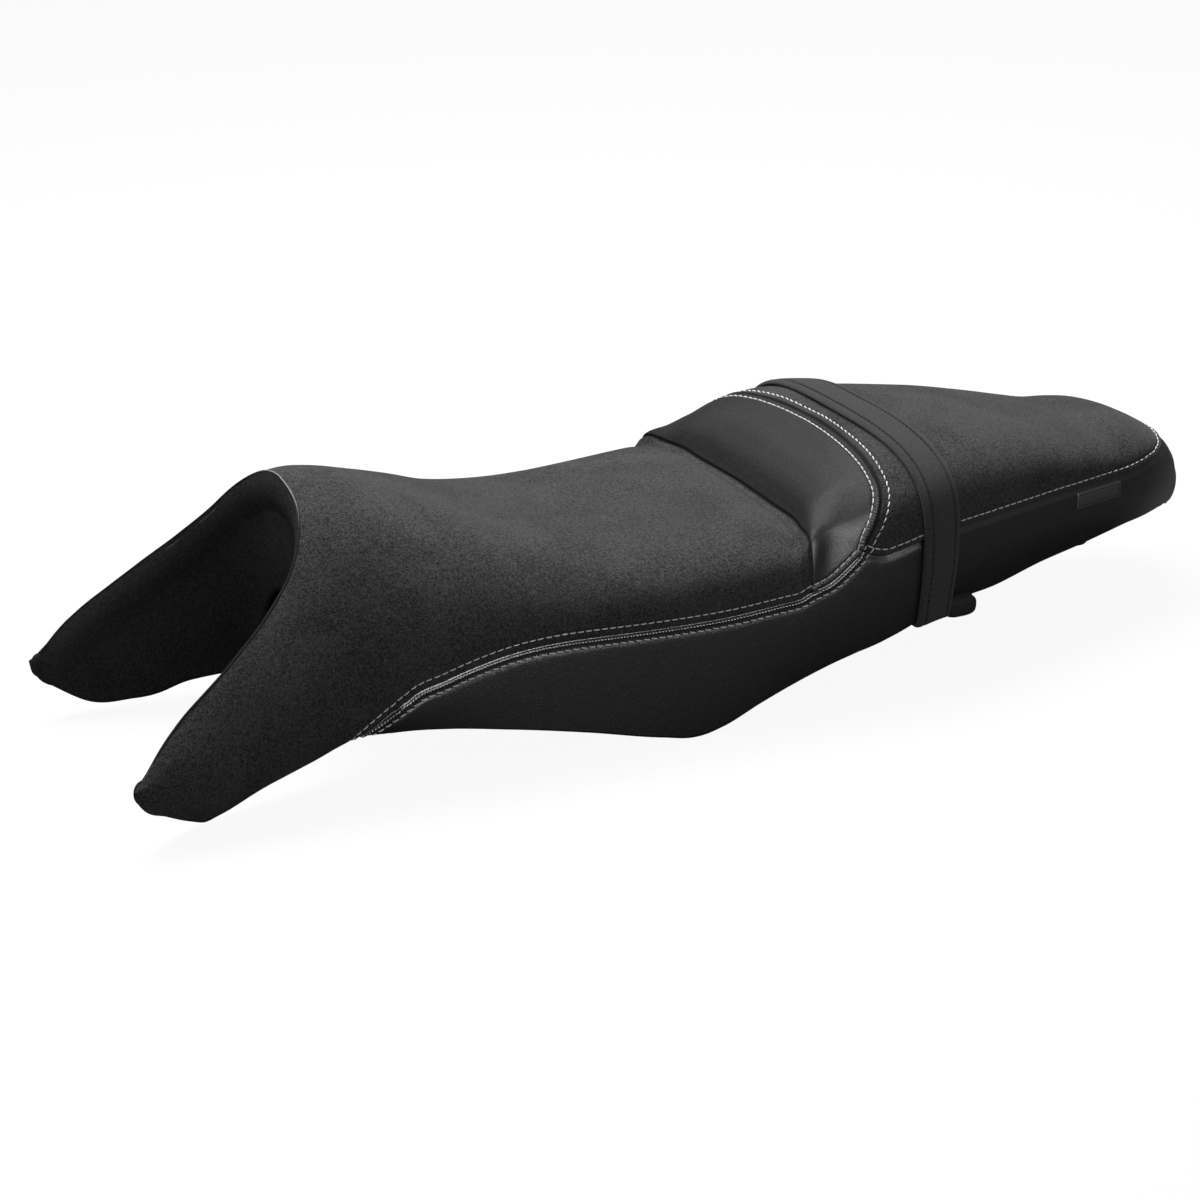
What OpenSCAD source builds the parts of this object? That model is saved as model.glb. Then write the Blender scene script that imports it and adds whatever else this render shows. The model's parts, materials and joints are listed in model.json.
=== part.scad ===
// Dual comfort seat for a naked motorcycle: padded horns that straddle the
// tank, a rider's hollow, a raised backrest step and a passenger pad.
// X runs forward, Y to the left, Z up.  The origin is under the middle of the
// seat's box, and the seat stands on its two knees and its latch striker.

/* [Lengths] */
// Length of the two horns, arch to tips
horn_len = 143; // [125:1:165]
// Length of the rider's hollow, step to arch
rider_len = 340; // [320:1:370]
// Length of the backrest step
step_len = 60; // [52:1:72]
// Length of the passenger pad behind the step
pad_len = 305; // [280:1:340]

/* [Widths] */
// Widest width, at the rider's thighs
seat_w = 252; // [236:1:268]
// Width over the two horns
nose_w = 230; // [214:1:244]
// Width of the tail where it starts to round
tail_w = 130; // [110:1:150]
// Spread of the arch between the horn tips
arch_w = 218; // [200:1:222]
// How far the lower edge tucks in under the widest line
tuck = 12; // [6:1:16]

/* [Heights] */
// Height of the arch's peak
nose_h = 187; // [174:1:200]
// Height of the rider's hollow
rider_h = 125; // [118:1:134]
// Height of the passenger pad's front
pad_h = 164; // [154:1:176]
// Height of the tail's top
tail_h = 130; // [124:1:140]
// Height of the tail's rear end
tail_end_h = 66; // [62:1:72]
// Height of the horn tips' upper corner
horn_tip_h = 50; // [46:1:56]
// Height of the widest line beside the passenger
pad_belt_h = 98; // [90:1:104]
// Height of the widest line beside the rider
rider_belt_h = 71; // [64:1:76]
// Height of the widest line on the horns
horn_belt_h = 41; // [38:1:46]
// Height of the lower edge at the tail
tail_edge_h = 61; // [56:1:64]
// Height of the lower edge at the strap
strap_edge_h = 48; // [42:1:52]
// Height of the lower edge at the arch
arch_edge_h = 44; // [38:1:50]
// Height of the horns' lowest point
horn_edge_h = 8; // [4:1:14]

/* [Cover and foam] */
// Thickness of the cover panels
cover_t = 2; // [1.5:0.1:2.4]
// Width of the hem that wraps under the edge
hem_w = 14; // [10:1:16]
// Gap between two panels at a seam
seam_gap = 0.6; // [0.4:0.1:1]
// Clearance between cover, foam and pan
fit = 0.3; // [0.2:0.05:0.5]
// Air between the cover and the foam
foam_gap = 0.6; // [0.3:0.1:0.9]
// Foam thickness under the rider
rider_foam = 42; // [36:1:48]
// Foam thickness under the passenger
pad_foam = 66; // [58:1:74]
// Foam thickness at the sides
side_foam = 14; // [12:1:16]
// Foam thickness behind the pan's tail end
tail_foam = 31.5; // [28:0.5:36]

/* [Base pan] */
// Wall thickness of the base pan
pan_t = 3; // [2.5:0.1:4]
// Outer diameter of the screw bosses
boss_d = 15; // [14:0.5:18]

/* [Grab strap] */
// Width of the grab strap
strap_w = 34; // [28:1:40]
// Thickness of the strap's cover, both layers
strap_t = 3.2; // [2.8:0.1:4]
// Distance of the strap's front edge behind the step
strap_back = 15; // [12:1:22]
// Width of the webbing inside the strap
web_w = 25; // [20:1:26]
// Thickness of the webbing
web_t = 1.2; // [1:0.1:1.6]
// Distance of the strap's bolts from the middle
bolt_y = 84; // [80:1:88]
// Thread diameter of the strap's bolts
bolt_d = 6; // [5:1:6]
// Thickness of the strap's clamp plates
clamp_t = 2; // [1.5:0.5:3]
// Length of the strap's clamp plates
clamp_len = 22; // [20:1:26]
// Thickness of the strap's washers
washer_t = 1.6; // [1.2:0.1:2]
// Length of the strap's bolts inside their bosses
bolt_reach = 14; // [12:1:16]

/* [Latch and tongue] */
// Rod diameter of the latch striker
rod_d = 8; // [6:1:10]
// Spread of the striker's two legs
striker_w = 36; // [30:1:44]
// Distance of the striker behind the strap's front edge
striker_back = 111; // [100:1:120]
// Thickness of the striker's plate
plate_t = 2.5; // [2:0.5:3]
// Length of the striker's plate
plate_l = 44; // [40:1:48]
// Distance of the plate's screws from the rod, along the seat
screw_out_x = 14; // [13:1:16]
// Distance of the plate's screws from the rod's leg, across the seat
screw_out_y = 10; // [10:1:12]
// Thread diameter of the striker's and tongue's screws
screw_d = 5; // [4:0.5:5]
// Length of the striker's and tongue's screws inside their bosses
screw_reach = 12; // [10:1:14]
// Width of the front tongue
tongue_w = 72; // [60:1:80]
// Thickness of the front tongue
tongue_t = 8; // [6:1:10]
// Length of the front tongue
tongue_len = 66; // [60:1:72]

/* [Rubber] */
// Diameter of the four dampers
damper_d = 24; // [20:1:28]
// Thickness of the four dampers
damper_t = 12; // [8:1:14]
// Height of the plane that the dampers rest on
damper_rest_h = 42; // [40:1:44]
// Length of the rubber block behind each strap end
block_len = 28; // [22:1:32]
// Height of the rubber block
block_h = 8; // [6:1:10]

/* [Tag] */
// Length of the blank side tag
tag_len = 48; // [40:1:56]
// Height of the blank side tag
tag_h = 13; // [10:1:16]

/* [Hidden] */
seat_len = horn_len + rider_len + step_len + pad_len;
tail_x = -seat_len / 2;
tip_x = seat_len / 2;
crown_x = tail_x + pad_len;
step_x = crown_x + step_len;
arch_x = step_x + rider_len;
strap_x = crown_x - strap_back;
strap_mid_x = strap_x - strap_w / 2;
// Share of the outline from the top's middle down to the widest line
belt_q = 0.6;
// Share of the outline at the hem's inner edge
hem_q = 1.1;
// Grid lines along and across the panels
long_n = 34;
cross_n = 13;
bore_fn = 48;
boss_fn = 20;

// Places along the seat, each a share of its own zone
function pad_x(f) = crown_x - f * pad_len;
function rise_x(f) = step_x - f * step_len;
function rider_x(f) = step_x + f * rider_len;
function horn_x(f) = arch_x + f * horn_len;
function mix(a, b, f) = a + (b - a) * f;

// A guide is a smooth curve through [place, value] knots
function guide(k) = [k, [for (i = [0:len(k) - 1])
    let (a = max(i - 1, 0), b = min(i, len(k) - 2),
        before = (k[a + 1][1] - k[a][1]) / (k[a + 1][0] - k[a][0]),
        after = (k[b + 1][1] - k[b][1]) / (k[b + 1][0] - k[b][0]),
        back = k[a + 1][0] - k[a][0], ahead = k[b + 1][0] - k[b][0])
    (before * ahead + after * back) / (back + ahead)]];
function span(k, x, low, high) = high - low < 2 ? low
    : let (m = floor((low + high) / 2))
    x < k[m][0] ? span(k, x, low, m) : span(k, x, m, high);
function at(g, x) = let (k = g[0], i = span(k, x, 0, len(k) - 1),
        h = k[i + 1][0] - k[i][0], t = min(max((x - k[i][0]) / h, 0), 1))
    (1 + (2 * t - 3) * t * t) * k[i][1] + (3 - 2 * t) * t * t * k[i + 1][1]
    + (1 + (t - 2) * t) * t * h * g[1][i] + (t - 1) * t * t * h * g[1][i + 1];

// Top of the section, on the middle line
top_h = guide([[tail_x, mix(tail_end_h, tail_h, 0.1)],
    [pad_x(0.987), mix(tail_end_h, tail_h, 0.39)],
    [pad_x(0.967), mix(tail_end_h, tail_h, 0.56)],
    [pad_x(0.938), mix(tail_end_h, tail_h, 0.73)],
    [pad_x(0.889), mix(tail_end_h, tail_h, 0.875)],
    [pad_x(0.83), mix(tail_end_h, tail_h, 0.97)],
    [pad_x(0.77), tail_h],
    [pad_x(0.72), tail_h],
    [pad_x(0.65), mix(tail_h, pad_h, 0.12)],
    [pad_x(0.525), mix(tail_h, pad_h, 0.38)],
    [pad_x(0.407), mix(tail_h, pad_h, 0.62)],
    [pad_x(0.28), mix(tail_h, pad_h, 0.83)],
    [pad_x(0.16), mix(tail_h, pad_h, 0.96)],
    [pad_x(0.05), pad_h],
    [crown_x, mix(rider_h, pad_h, 0.92)],
    [rise_x(0.68), mix(rider_h, pad_h, 0.77)],
    [rise_x(0.35), mix(rider_h, pad_h, 0.54)],
    [rise_x(0.15), mix(rider_h, pad_h, 0.3)],
    [step_x, rider_h],
    [rider_x(0.05), rider_h],
    [rider_x(0.26), rider_h],
    [rider_x(0.35), mix(rider_h, nose_h, 0.02)],
    [rider_x(0.43), mix(rider_h, nose_h, 0.065)],
    [rider_x(0.515), mix(rider_h, nose_h, 0.16)],
    [rider_x(0.62), mix(rider_h, nose_h, 0.34)],
    [rider_x(0.72), mix(rider_h, nose_h, 0.575)],
    [rider_x(0.815), mix(rider_h, nose_h, 0.775)],
    [rider_x(0.91), mix(rider_h, nose_h, 0.945)],
    [rider_x(0.96), nose_h],
    [arch_x, nose_h],
    [horn_x(0.09), mix(nose_h, horn_tip_h, 0.02)],
    [horn_x(0.17), mix(nose_h, horn_tip_h, 0.07)],
    [horn_x(0.3), mix(nose_h, horn_tip_h, 0.145)],
    [horn_x(0.49), mix(nose_h, horn_tip_h, 0.25)],
    [horn_x(0.63), mix(nose_h, horn_tip_h, 0.35)],
    [horn_x(0.775), mix(nose_h, horn_tip_h, 0.505)],
    [horn_x(0.895), mix(nose_h, horn_tip_h, 0.69)],
    [horn_x(0.97), mix(nose_h, horn_tip_h, 0.9)],
    [tip_x, horn_tip_h]]);

// Half width at the widest line
half_w = guide([[tail_x, 0.04 * tail_w],
    [pad_x(0.99), 0.185 * tail_w],
    [pad_x(0.967), 0.275 * tail_w],
    [pad_x(0.93), 0.354 * tail_w],
    [pad_x(0.889), 0.423 * tail_w],
    [pad_x(0.83), tail_w / 2],
    [pad_x(0.757), mix(tail_w, seat_w, 0.13) / 2],
    [pad_x(0.61), mix(tail_w, seat_w, 0.29) / 2],
    [pad_x(0.46), mix(tail_w, seat_w, 0.435) / 2],
    [pad_x(0.33), mix(tail_w, seat_w, 0.58) / 2],
    [pad_x(0.19), mix(tail_w, seat_w, 0.74) / 2],
    [pad_x(0.05), mix(tail_w, seat_w, 0.935) / 2],
    [rise_x(0.57), seat_w / 2],
    [step_x, seat_w / 2],
    [rider_x(0.17), mix(seat_w, nose_w, 0.09) / 2],
    [rider_x(0.35), mix(seat_w, nose_w, 0.27) / 2],
    [rider_x(0.53), mix(seat_w, nose_w, 0.45) / 2],
    [rider_x(0.7), mix(seat_w, nose_w, 0.73) / 2],
    [rider_x(0.88), nose_w / 2],
    [horn_x(0.6), nose_w / 2],
    [horn_x(0.9), nose_w / 2 - 1],
    [tip_x, nose_w / 2 - 4]]);

// Height of the widest line
belt_h = guide([[tail_x, tail_end_h],
    [pad_x(0.967), mix(tail_end_h, pad_belt_h, 0.44)],
    [pad_x(0.889), mix(tail_end_h, pad_belt_h, 0.75)],
    [pad_x(0.757), mix(tail_end_h, pad_belt_h, 0.94)],
    [pad_x(0.28), pad_belt_h],
    [pad_x(0.05), pad_belt_h],
    [rise_x(0.57), mix(pad_belt_h, rider_belt_h, 0.22)],
    [step_x, mix(pad_belt_h, rider_belt_h, 0.67)],
    [rider_x(0.17), rider_belt_h],
    [rider_x(0.7), rider_belt_h],
    [rider_x(0.88), mix(rider_belt_h, horn_belt_h, 0.27)],
    [arch_x, mix(rider_belt_h, horn_belt_h, 0.53)],
    [horn_x(0.3), mix(rider_belt_h, horn_belt_h, 0.67)],
    [horn_x(0.63), mix(rider_belt_h, horn_belt_h, 0.9)],
    [horn_x(0.9), horn_belt_h],
    [tip_x, horn_belt_h]]);

// Squareness of the section: 2 is an ellipse, more is boxier
square_n = guide([[tail_x, 2.2], [pad_x(0.92), 2.8], [pad_x(0.76), 3.4],
    [pad_x(0.43), 3.6], [pad_x(0.05), 3.25], [rise_x(0.6), 3.8],
    [step_x, 5], [rider_x(0.17), 5.2], [rider_x(0.35), 4.2],
    [rider_x(0.53), 3.1], [rider_x(0.72), 2.4], [rider_x(0.815), 2.1],
    [rider_x(0.91), 1.9], [arch_x, 1.8], [tip_x, 1.8]]);

// Height of the lower edge; the knees stand on the floor
edge_h = guide([[tail_x, tail_end_h - 3],
    [pad_x(0.987), tail_edge_h - 3],
    [pad_x(0.93), tail_edge_h - 1],
    [pad_x(0.77), tail_edge_h],
    [pad_x(0.616), mix(tail_edge_h, strap_edge_h, 0.38)],
    [pad_x(0.475), mix(tail_edge_h, strap_edge_h, 0.6)],
    [pad_x(0.34), mix(tail_edge_h, strap_edge_h, 0.92)],
    [pad_x(0.07), strap_edge_h],
    [pad_x(0.026), 0.93 * strap_edge_h],
    [rise_x(0.8), 0.83 * strap_edge_h],
    [step_x, 0.63 * strap_edge_h],
    [rider_x(0.147), 0.3 * strap_edge_h],
    [rider_x(0.23), 0.07 * strap_edge_h],
    [rider_x(0.28), 0],
    [rider_x(0.3), 0],
    [rider_x(0.362), 0.1 * arch_edge_h],
    [rider_x(0.53), 0.455 * arch_edge_h],
    [rider_x(0.694), 0.75 * arch_edge_h],
    [rider_x(0.788), 0.89 * arch_edge_h],
    [rider_x(0.903), arch_edge_h],
    [arch_x, arch_edge_h],
    [horn_x(0.19), mix(arch_edge_h, horn_edge_h, 0.26)],
    [horn_x(0.427), mix(arch_edge_h, horn_edge_h, 0.6)],
    [horn_x(0.622), mix(arch_edge_h, horn_edge_h, 0.94)],
    [horn_x(0.685), horn_edge_h],
    [horn_x(0.748), mix(horn_edge_h, horn_belt_h, 0.09)],
    [horn_x(0.86), mix(horn_edge_h, horn_belt_h, 0.33)],
    [horn_x(0.972), mix(horn_edge_h, horn_belt_h, 0.64)],
    [tip_x, mix(horn_edge_h, horn_belt_h, 0.85)]]);

// How far the lower edge lies inside the widest line
tuck_w = guide([[tail_x, 0.17 * tuck], [pad_x(0.987), 0.4 * tuck],
    [pad_x(0.93), 0.6 * tuck], [pad_x(0.77), tuck], [pad_x(0.34), 0.9 * tuck],
    [pad_x(0.07), 0.45 * tuck], [step_x, 0.35 * tuck],
    [rider_x(0.17), 0.15 * tuck], [rider_x(0.7), 0.1 * tuck],
    [rider_x(0.9), 0.3 * tuck], [horn_x(0.43), 0.75 * tuck],
    [horn_x(0.69), 0.85 * tuck], [tip_x, 0.3 * tuck]]);

// The shoulders of the step lie ahead of its middle
wrap_mid = rise_x(0.27);
wrap_len = 85;
wrap_by = 22;
function wrap(x, y) = wrap_by * min(1, abs(y) / (0.95 * seat_w / 2)) ^ 4
    * max(0, 1 - abs((x - wrap_mid) / wrap_len) ^ 3);

// The seat's outer surface: q is 0 on the middle line, belt_q at the widest
// line, 1 at the lower edge and hem_q at the hem's inner edge.  Each section
// is a superellipse above the widest line and a tucked flank below it.
function section(x) = [at(half_w, x), at(belt_h, x), at(square_n, x),
    at(edge_h, x), at(tuck_w, x)];
function turn(q) = 90 * min(abs(q) / belt_q, 1);
function reach(a, n) = (cos(a) ^ n + sin(a) ^ n) ^ (-1 / n);
function seat(x, q) = let (s = section(x), side = sign(q), a = turn(q),
        r = reach(a, s[2]), y = s[0] * r * sin(a),
        top = at(top_h, x - wrap(x, y)),
        t = (min(max(abs(q), belt_q), 1) - belt_q) / (1 - belt_q),
        h = max(abs(q) - 1, 0) / (hem_q - 1))
    abs(q) <= belt_q ? [x, side * y, s[1] + (top - s[1]) * r * cos(a)]
    : [x, side * max(s[0] - s[4] * t * t - hem_w * h, 0.2),
        mix(s[1], s[3], t) + 0.2 * h];
function q_at_width(x, y) = let (n = at(square_n, x),
        a = min(y / at(half_w, x), 0.999) ^ n)
    belt_q * atan((a / (1 - a)) ^ (1 / n)) / 90;

// A trail runs through [x, q] points and is read by its share of the length
function along(p, i) = i == 0 ? 0
    : along(p, i - 1) + norm(seat(p[i][0], p[i][1]) - seat(p[i - 1][0], p[i - 1][1]));
function trail(p) = let (whole = along(p, len(p) - 1),
        s = [for (i = [0:len(p) - 1]) along(p, i) / whole])
    [guide([for (i = [0:len(p) - 1]) [s[i], p[i][0]]]),
     guide([for (i = [0:len(p) - 1]) [s[i], p[i][1]]])];
function on(tr, s) = [at(tr[0], s), at(tr[1], s)];

// Seams of the left half, as [x, q] points
step_start = [step_x, 0];
step_end = [rise_x(-0.23), 0.525];
double_rear = [rise_x(-0.12), 0.529];
crown_start = [crown_x - 2, 0];
corner = [rise_x(0.45), 0.487];
seam_front = [rider_x(0.99), hem_q];
seam_tail = [pad_x(0.948), 0];
step_seam = trail([step_start, [rise_x(-0.02), 0.14], [rise_x(-0.05), 0.214],
    [rise_x(-0.15), 0.283], [rise_x(-0.22), 0.344], [rise_x(-0.23), 0.43],
    step_end]);
crown_seam = trail([crown_start, [crown_x - 1, 0.072], [crown_x + 1, 0.144],
    [crown_x + 4, 0.211], [crown_x + 8, 0.275], [crown_x + 12, 0.33],
    [crown_x + 16, 0.364], [crown_x + 23, 0.411], [crown_x + 30, 0.448],
    corner]);
front_knots = [step_end, [rider_x(0.11), 0.51], [rider_x(0.29), 0.497],
    [rider_x(0.46), 0.5], [rider_x(0.61), 0.514], [rider_x(0.727), 0.54],
    [rider_x(0.81), 0.564], [rider_x(0.885), 0.588], [rider_x(0.92), 0.62],
    [rider_x(0.944), 0.726], [rider_x(0.963), 0.84], [rider_x(0.985), 1],
    seam_front];
front_seam = trail(front_knots);
rear_seam = trail([double_rear, [step_x, 0.532], [rise_x(0.2), 0.517], corner]);
pad_seam = trail([corner, [crown_x + 13, 0.524], [pad_x(0.05), 0.546],
    [pad_x(0.19), 0.515], [pad_x(0.33), 0.511], [pad_x(0.46), 0.499],
    [pad_x(0.603), 0.464], [pad_x(0.744), 0.419], [pad_x(0.86), 0.374]]);
tail_seam = trail([[pad_x(0.86), 0.374], [pad_x(0.9), 0.31],
    [pad_x(0.93), 0.2], [pad_x(0.945), 0.1], seam_tail]);

// The arch: its rim lies on the seat's surface, its foot is the lining's edge
rim_x = guide([[0, arch_x], [0.174, horn_x(0.02)], [0.283, horn_x(0.09)],
    [0.476, horn_x(0.3)], [0.62, horn_x(0.49)], [0.83, horn_x(0.776)],
    [0.917, horn_x(0.895)], [1, tip_x]]);
rim_y = guide([[0, 0], [0.174, 0.367 * arch_w / 2], [0.283, 0.55 * arch_w / 2],
    [0.476, 0.734 * arch_w / 2], [0.62, 0.826 * arch_w / 2],
    [0.83, 0.917 * arch_w / 2], [0.917, 0.963 * arch_w / 2],
    [1, arch_w / 2]]);
foot_x = guide([[0, rider_x(0.985)], [0.174, rider_x(0.99)],
    [0.283, horn_x(0.01)], [0.476, horn_x(0.1)], [0.62, horn_x(0.3)],
    [0.83, horn_x(0.56)], [0.917, horn_x(0.76)], [1, horn_x(0.97)]]);
foot_y = guide([[0, 0], [0.174, 0.33 * arch_w / 2], [0.283, 0.51 * arch_w / 2],
    [0.476, 0.587 * arch_w / 2], [0.62, 0.65 * arch_w / 2],
    [0.83, 0.75 * arch_w / 2], [0.917, 0.83 * arch_w / 2],
    [1, 0.955 * arch_w / 2]]);
foot_z = guide([[0, 0.695 * nose_h], [0.174, 0.66 * nose_h],
    [0.283, 0.48 * nose_h], [0.476, 0.75 * arch_edge_h],
    [0.62, mix(arch_edge_h, horn_edge_h, 0.6)],
    [0.83, horn_edge_h + 4], [0.917, horn_edge_h + 4],
    [1, mix(horn_edge_h, horn_belt_h, 0.64)]]);
function rim_q(t) = q_at_width(at(rim_x, t), at(rim_y, t));
function rim(t) = seat(at(rim_x, abs(t)), sign(t) * rim_q(abs(t)));
function rim_under(t) = rim(t) - (cover_t + fit)
    * seat_normal(at(rim_x, abs(t)), sign(t) * rim_q(abs(t)));
function foot(t) = [at(foot_x, abs(t)), sign(t) * at(foot_y, abs(t)),
    at(foot_z, abs(t))];
horn_hem = trail([for (f = [0:0.1:1]) f == 0 ? seam_front : [horn_x(f), hem_q]]);

// Points along a trail, n steps from share a to share b
function walk(tr, n, a = 0, b = 1) = [for (k = [0:n]) on(tr, mix(a, b, k / n))];
function tail_of(list) = [for (k = [1:len(list) - 1]) list[k]];
// A grid that fills four edges: rear and front run outwards, middle and side
// run forwards, and neighbours share their corners
function fill(rear, front, middle, side) = let (m = len(middle) - 1,
        n = len(rear) - 1)
    [for (i = [0:m]) [for (j = [0:n]) let (u = i / m, v = j / n)
        (1 - u) * rear[j] + u * front[j] + (1 - v) * middle[i] + v * side[i]
        - (1 - u) * (1 - v) * rear[0] - (1 - u) * v * rear[n]
        - u * (1 - v) * front[0] - u * v * front[n]]];
// The rider's panel is filled in shares of its girth, which fan out evenly
// from the step to the tips and still end on its own lower border
rider_low = guide(concat(front_knots, [[arch_x, hem_q], [tip_x, hem_q]]));
function fan(x) = let (t = min(max((x - rider_x(0.47)) / (tip_x - rider_x(0.47)), 0), 1))
    mix(0.53, hem_q, t * t * (3 - 2 * t));
function share_at(x, q, w, tries) = tries == 0 ? w : share_at(x, q,
    (q - (at(rider_low, x) - fan(x)) * w ^ 3) / fan(x), tries - 1);
function to_share(list) = [for (p = list) [p[0], share_at(p[0], p[1], 0.5, 12)]];
function from_share(g) = [for (row = g) [for (p = row)
    [p[0], p[1] * fan(p[0]) + (at(rider_low, p[0]) - fan(p[0])) * p[1] ^ 3]]];
rim_n = 9;
rim_edge = concat([for (k = [0:rim_n]) [at(rim_x, k / rim_n), rim_q(k / rim_n)]],
    [for (k = [1:cross_n - rim_n]) [tip_x, mix(rim_q(1), hem_q, k / (cross_n - rim_n))]]);
function both_halves(g) = let (n = len(g[0]) - 1) [for (row = g)
    [for (j = [-n:n]) [row[abs(j)][0], sign(j) * row[abs(j)][1]]]];
// Pulls a grid's border in by half a seam
function pull(a, b) = a + (b - a) * seam_gap / 2
    / max(norm(seat(b[0], b[1]) - seat(a[0], a[1])), seam_gap);
function trim(g) = let (m = len(g) - 1, n = len(g[0]) - 1, rows = [for (i = [0:m])
        [for (j = [0:n]) i == 0 ? pull(g[0][j], g[1][j])
            : i == m ? pull(g[m][j], g[m - 1][j]) : g[i][j]]])
    [for (r = rows) [for (j = [0:n]) j == 0 ? pull(r[0], r[1])
        : j == n ? pull(r[n], r[n - 1]) : r[j]]];

function grid_normal(g, i, j) = let (m = len(g) - 1, n = len(g[0]) - 1,
        a = g[min(i + 1, m)][j] - g[max(i - 1, 0)][j],
        b = g[i][min(j + 1, n)] - g[i][max(j - 1, 0)], c = cross(a, b))
    c / max(norm(c), 0.000001);
function sink(g, depth) = [for (i = [0:len(g) - 1])
    [for (j = [0:len(g[0]) - 1]) g[i][j] - depth * grid_normal(g, i, j)]];
function seat_normal(x, q) = let (c = cross(seat(x + 1, q) - seat(x - 1, q),
        seat(x, q + 0.01) - seat(x, q - 0.01))) c / norm(c);

// Thin closed solid between two grids of points
module skin(top, under) {
    m = len(top);
    n = len(top[0]);
    points = concat([for (r = top) each r], [for (r = under) each r]);
    function id(layer, i, j) = layer * m * n + i * n + j;
    function two(a, b, c, d) = [[a, b, c], [a, c, d]];
    faces = concat(
        [for (i = [0:m - 2], j = [0:n - 2]) each two(id(0, i, j), id(0, i, j + 1),
            id(0, i + 1, j + 1), id(0, i + 1, j))],
        [for (i = [0:m - 2], j = [0:n - 2]) each two(id(1, i, j), id(1, i + 1, j),
            id(1, i + 1, j + 1), id(1, i, j + 1))],
        [for (j = [0:n - 2]) each two(id(0, 0, j), id(1, 0, j),
            id(1, 0, j + 1), id(0, 0, j + 1))],
        [for (j = [0:n - 2]) each two(id(0, m - 1, j), id(0, m - 1, j + 1),
            id(1, m - 1, j + 1), id(1, m - 1, j))],
        [for (i = [0:m - 2]) each two(id(0, i, 0), id(0, i + 1, 0),
            id(1, i + 1, 0), id(1, i, 0))],
        [for (i = [0:m - 2]) each two(id(0, i, n - 1), id(1, i, n - 1),
            id(1, i + 1, n - 1), id(0, i + 1, n - 1))]);
    polyhedron(points, faces, convexity = 6);
}
// A panel of the cover, from a grid of [x, q] points
module panel(g) {
    t = trim(g);
    skin([for (r = t) [for (p = r) seat(p[0], p[1])]],
        [for (r = t) [for (p = r) seat(p[0], p[1]) - cover_t * seat_normal(p[0], p[1])]]);
}

// Closed solid through a row of rings of points
module rings(r) {
    m = len(r);
    n = len(r[0]);
    faces = concat([[for (j = [0:n - 1]) j]],
        [for (i = [0:m - 2], j = [0:n - 1]) let (k = (j + 1) % n)
            each [[i * n + j, (i + 1) * n + j, (i + 1) * n + k],
                [i * n + j, (i + 1) * n + k, i * n + k]]],
        [[for (j = [0:n - 1]) m * n - 1 - j]]);
    polyhedron([for (ring = r) each ring], faces, convexity = 6);
}

// Rings of the seat's inside and of the pan, left to right over the top
ring_q = [for (k = [cross_n:-1:-cross_n]) k / cross_n];
function slope(x) = (at(top_h, x + 1) - at(top_h, x - 1)) / 2;
// The hem's upper face, where foam and pan stand on it
function hem_top(x) = at(edge_h, x) + 0.2 + (cover_t + fit)
    * sqrt(1 + (at(edge_h, x + 1) - at(edge_h, x)) ^ 2);
function inside(x, q, d) = let (s = section(x), a = turn(q), r = reach(a, s[2]),
        y = (s[0] - d) * r * sin(a), top = at(top_h, x - wrap(x, y))
            - d * min(sqrt(1 + slope(x) ^ 2), 2.5),
        t = (max(abs(q), belt_q) - belt_q) / (1 - belt_q))
    abs(q) <= belt_q ? [x, sign(q) * y, s[1] + (top - s[1]) * r * cos(a)]
    : [x, sign(q) * max(s[0] - s[4] * t * t - d, 0.5), mix(s[1], hem_top(x), t)];
foam_x = concat([for (k = [0:15]) mix(tail_x, crown_x, k / 16)],
    [for (k = [0:13]) mix(crown_x, rider_x(0.08), k / 14)],
    [for (k = [0:22]) mix(rider_x(0.08), tip_x, k / 22)]);
module seat_inside(d) rings([for (x = foam_x)
    [for (q = ring_q) inside(x, q, d) - [d * x / tip_x, 0, 0]]]);

// The base pan is a boxier shell inside the foam
pan_rear = tail_x + cover_t + tail_foam;
pan_front = rider_x(0.955);
deck_h = guide([[pan_rear, tail_h - 0.72 * pad_foam],
    [pad_x(0.77), tail_h - 0.62 * pad_foam], [pad_x(0.4), pad_h - pad_foam - 3],
    [pad_x(0.05), pad_h - pad_foam],
    [rise_x(0.5), mix(rider_h - rider_foam, pad_h - pad_foam, 0.4)],
    [step_x, rider_h - rider_foam], [rider_x(0.4), rider_h - rider_foam],
    [rider_x(0.62), rider_h - rider_foam + 14],
    [rider_x(0.82), 0.62 * nose_h], [pan_front, 0.68 * nose_h]]);
deck_n = 6;
skirt_in = 6;
function pan_point(x, q, d) = let (s = section(x), top = at(deck_h, x) - d,
        foot = hem_top(x), waist = mix(foot, top, 0.45),
        w = max(s[0] - side_foam, 8) - d, e = max(s[0] - s[4] - cover_t - skirt_in, 6) - d,
        a = turn(q), r = reach(a, deck_n),
        t = (max(abs(q), belt_q) - belt_q) / (1 - belt_q))
    abs(q) <= belt_q ? [x, sign(q) * w * r * sin(a), waist + (top - waist) * r * cos(a)]
    : [x, sign(q) * mix(w, e, t * t), mix(waist, foot, t)];
pan_q = [for (k = [10:-1:-10]) k / 10];
module pan_inside(d, drop, rear, front) rings([for (k = [0:26])
    let (x = mix(rear, front, k / 26), p = [for (q = pan_q) pan_point(x, q, d)])
    drop == 0 ? p : concat([p[0] - [0, 0, drop]], p, [p[len(p) - 1] - [0, 0, drop]])]);

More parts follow.
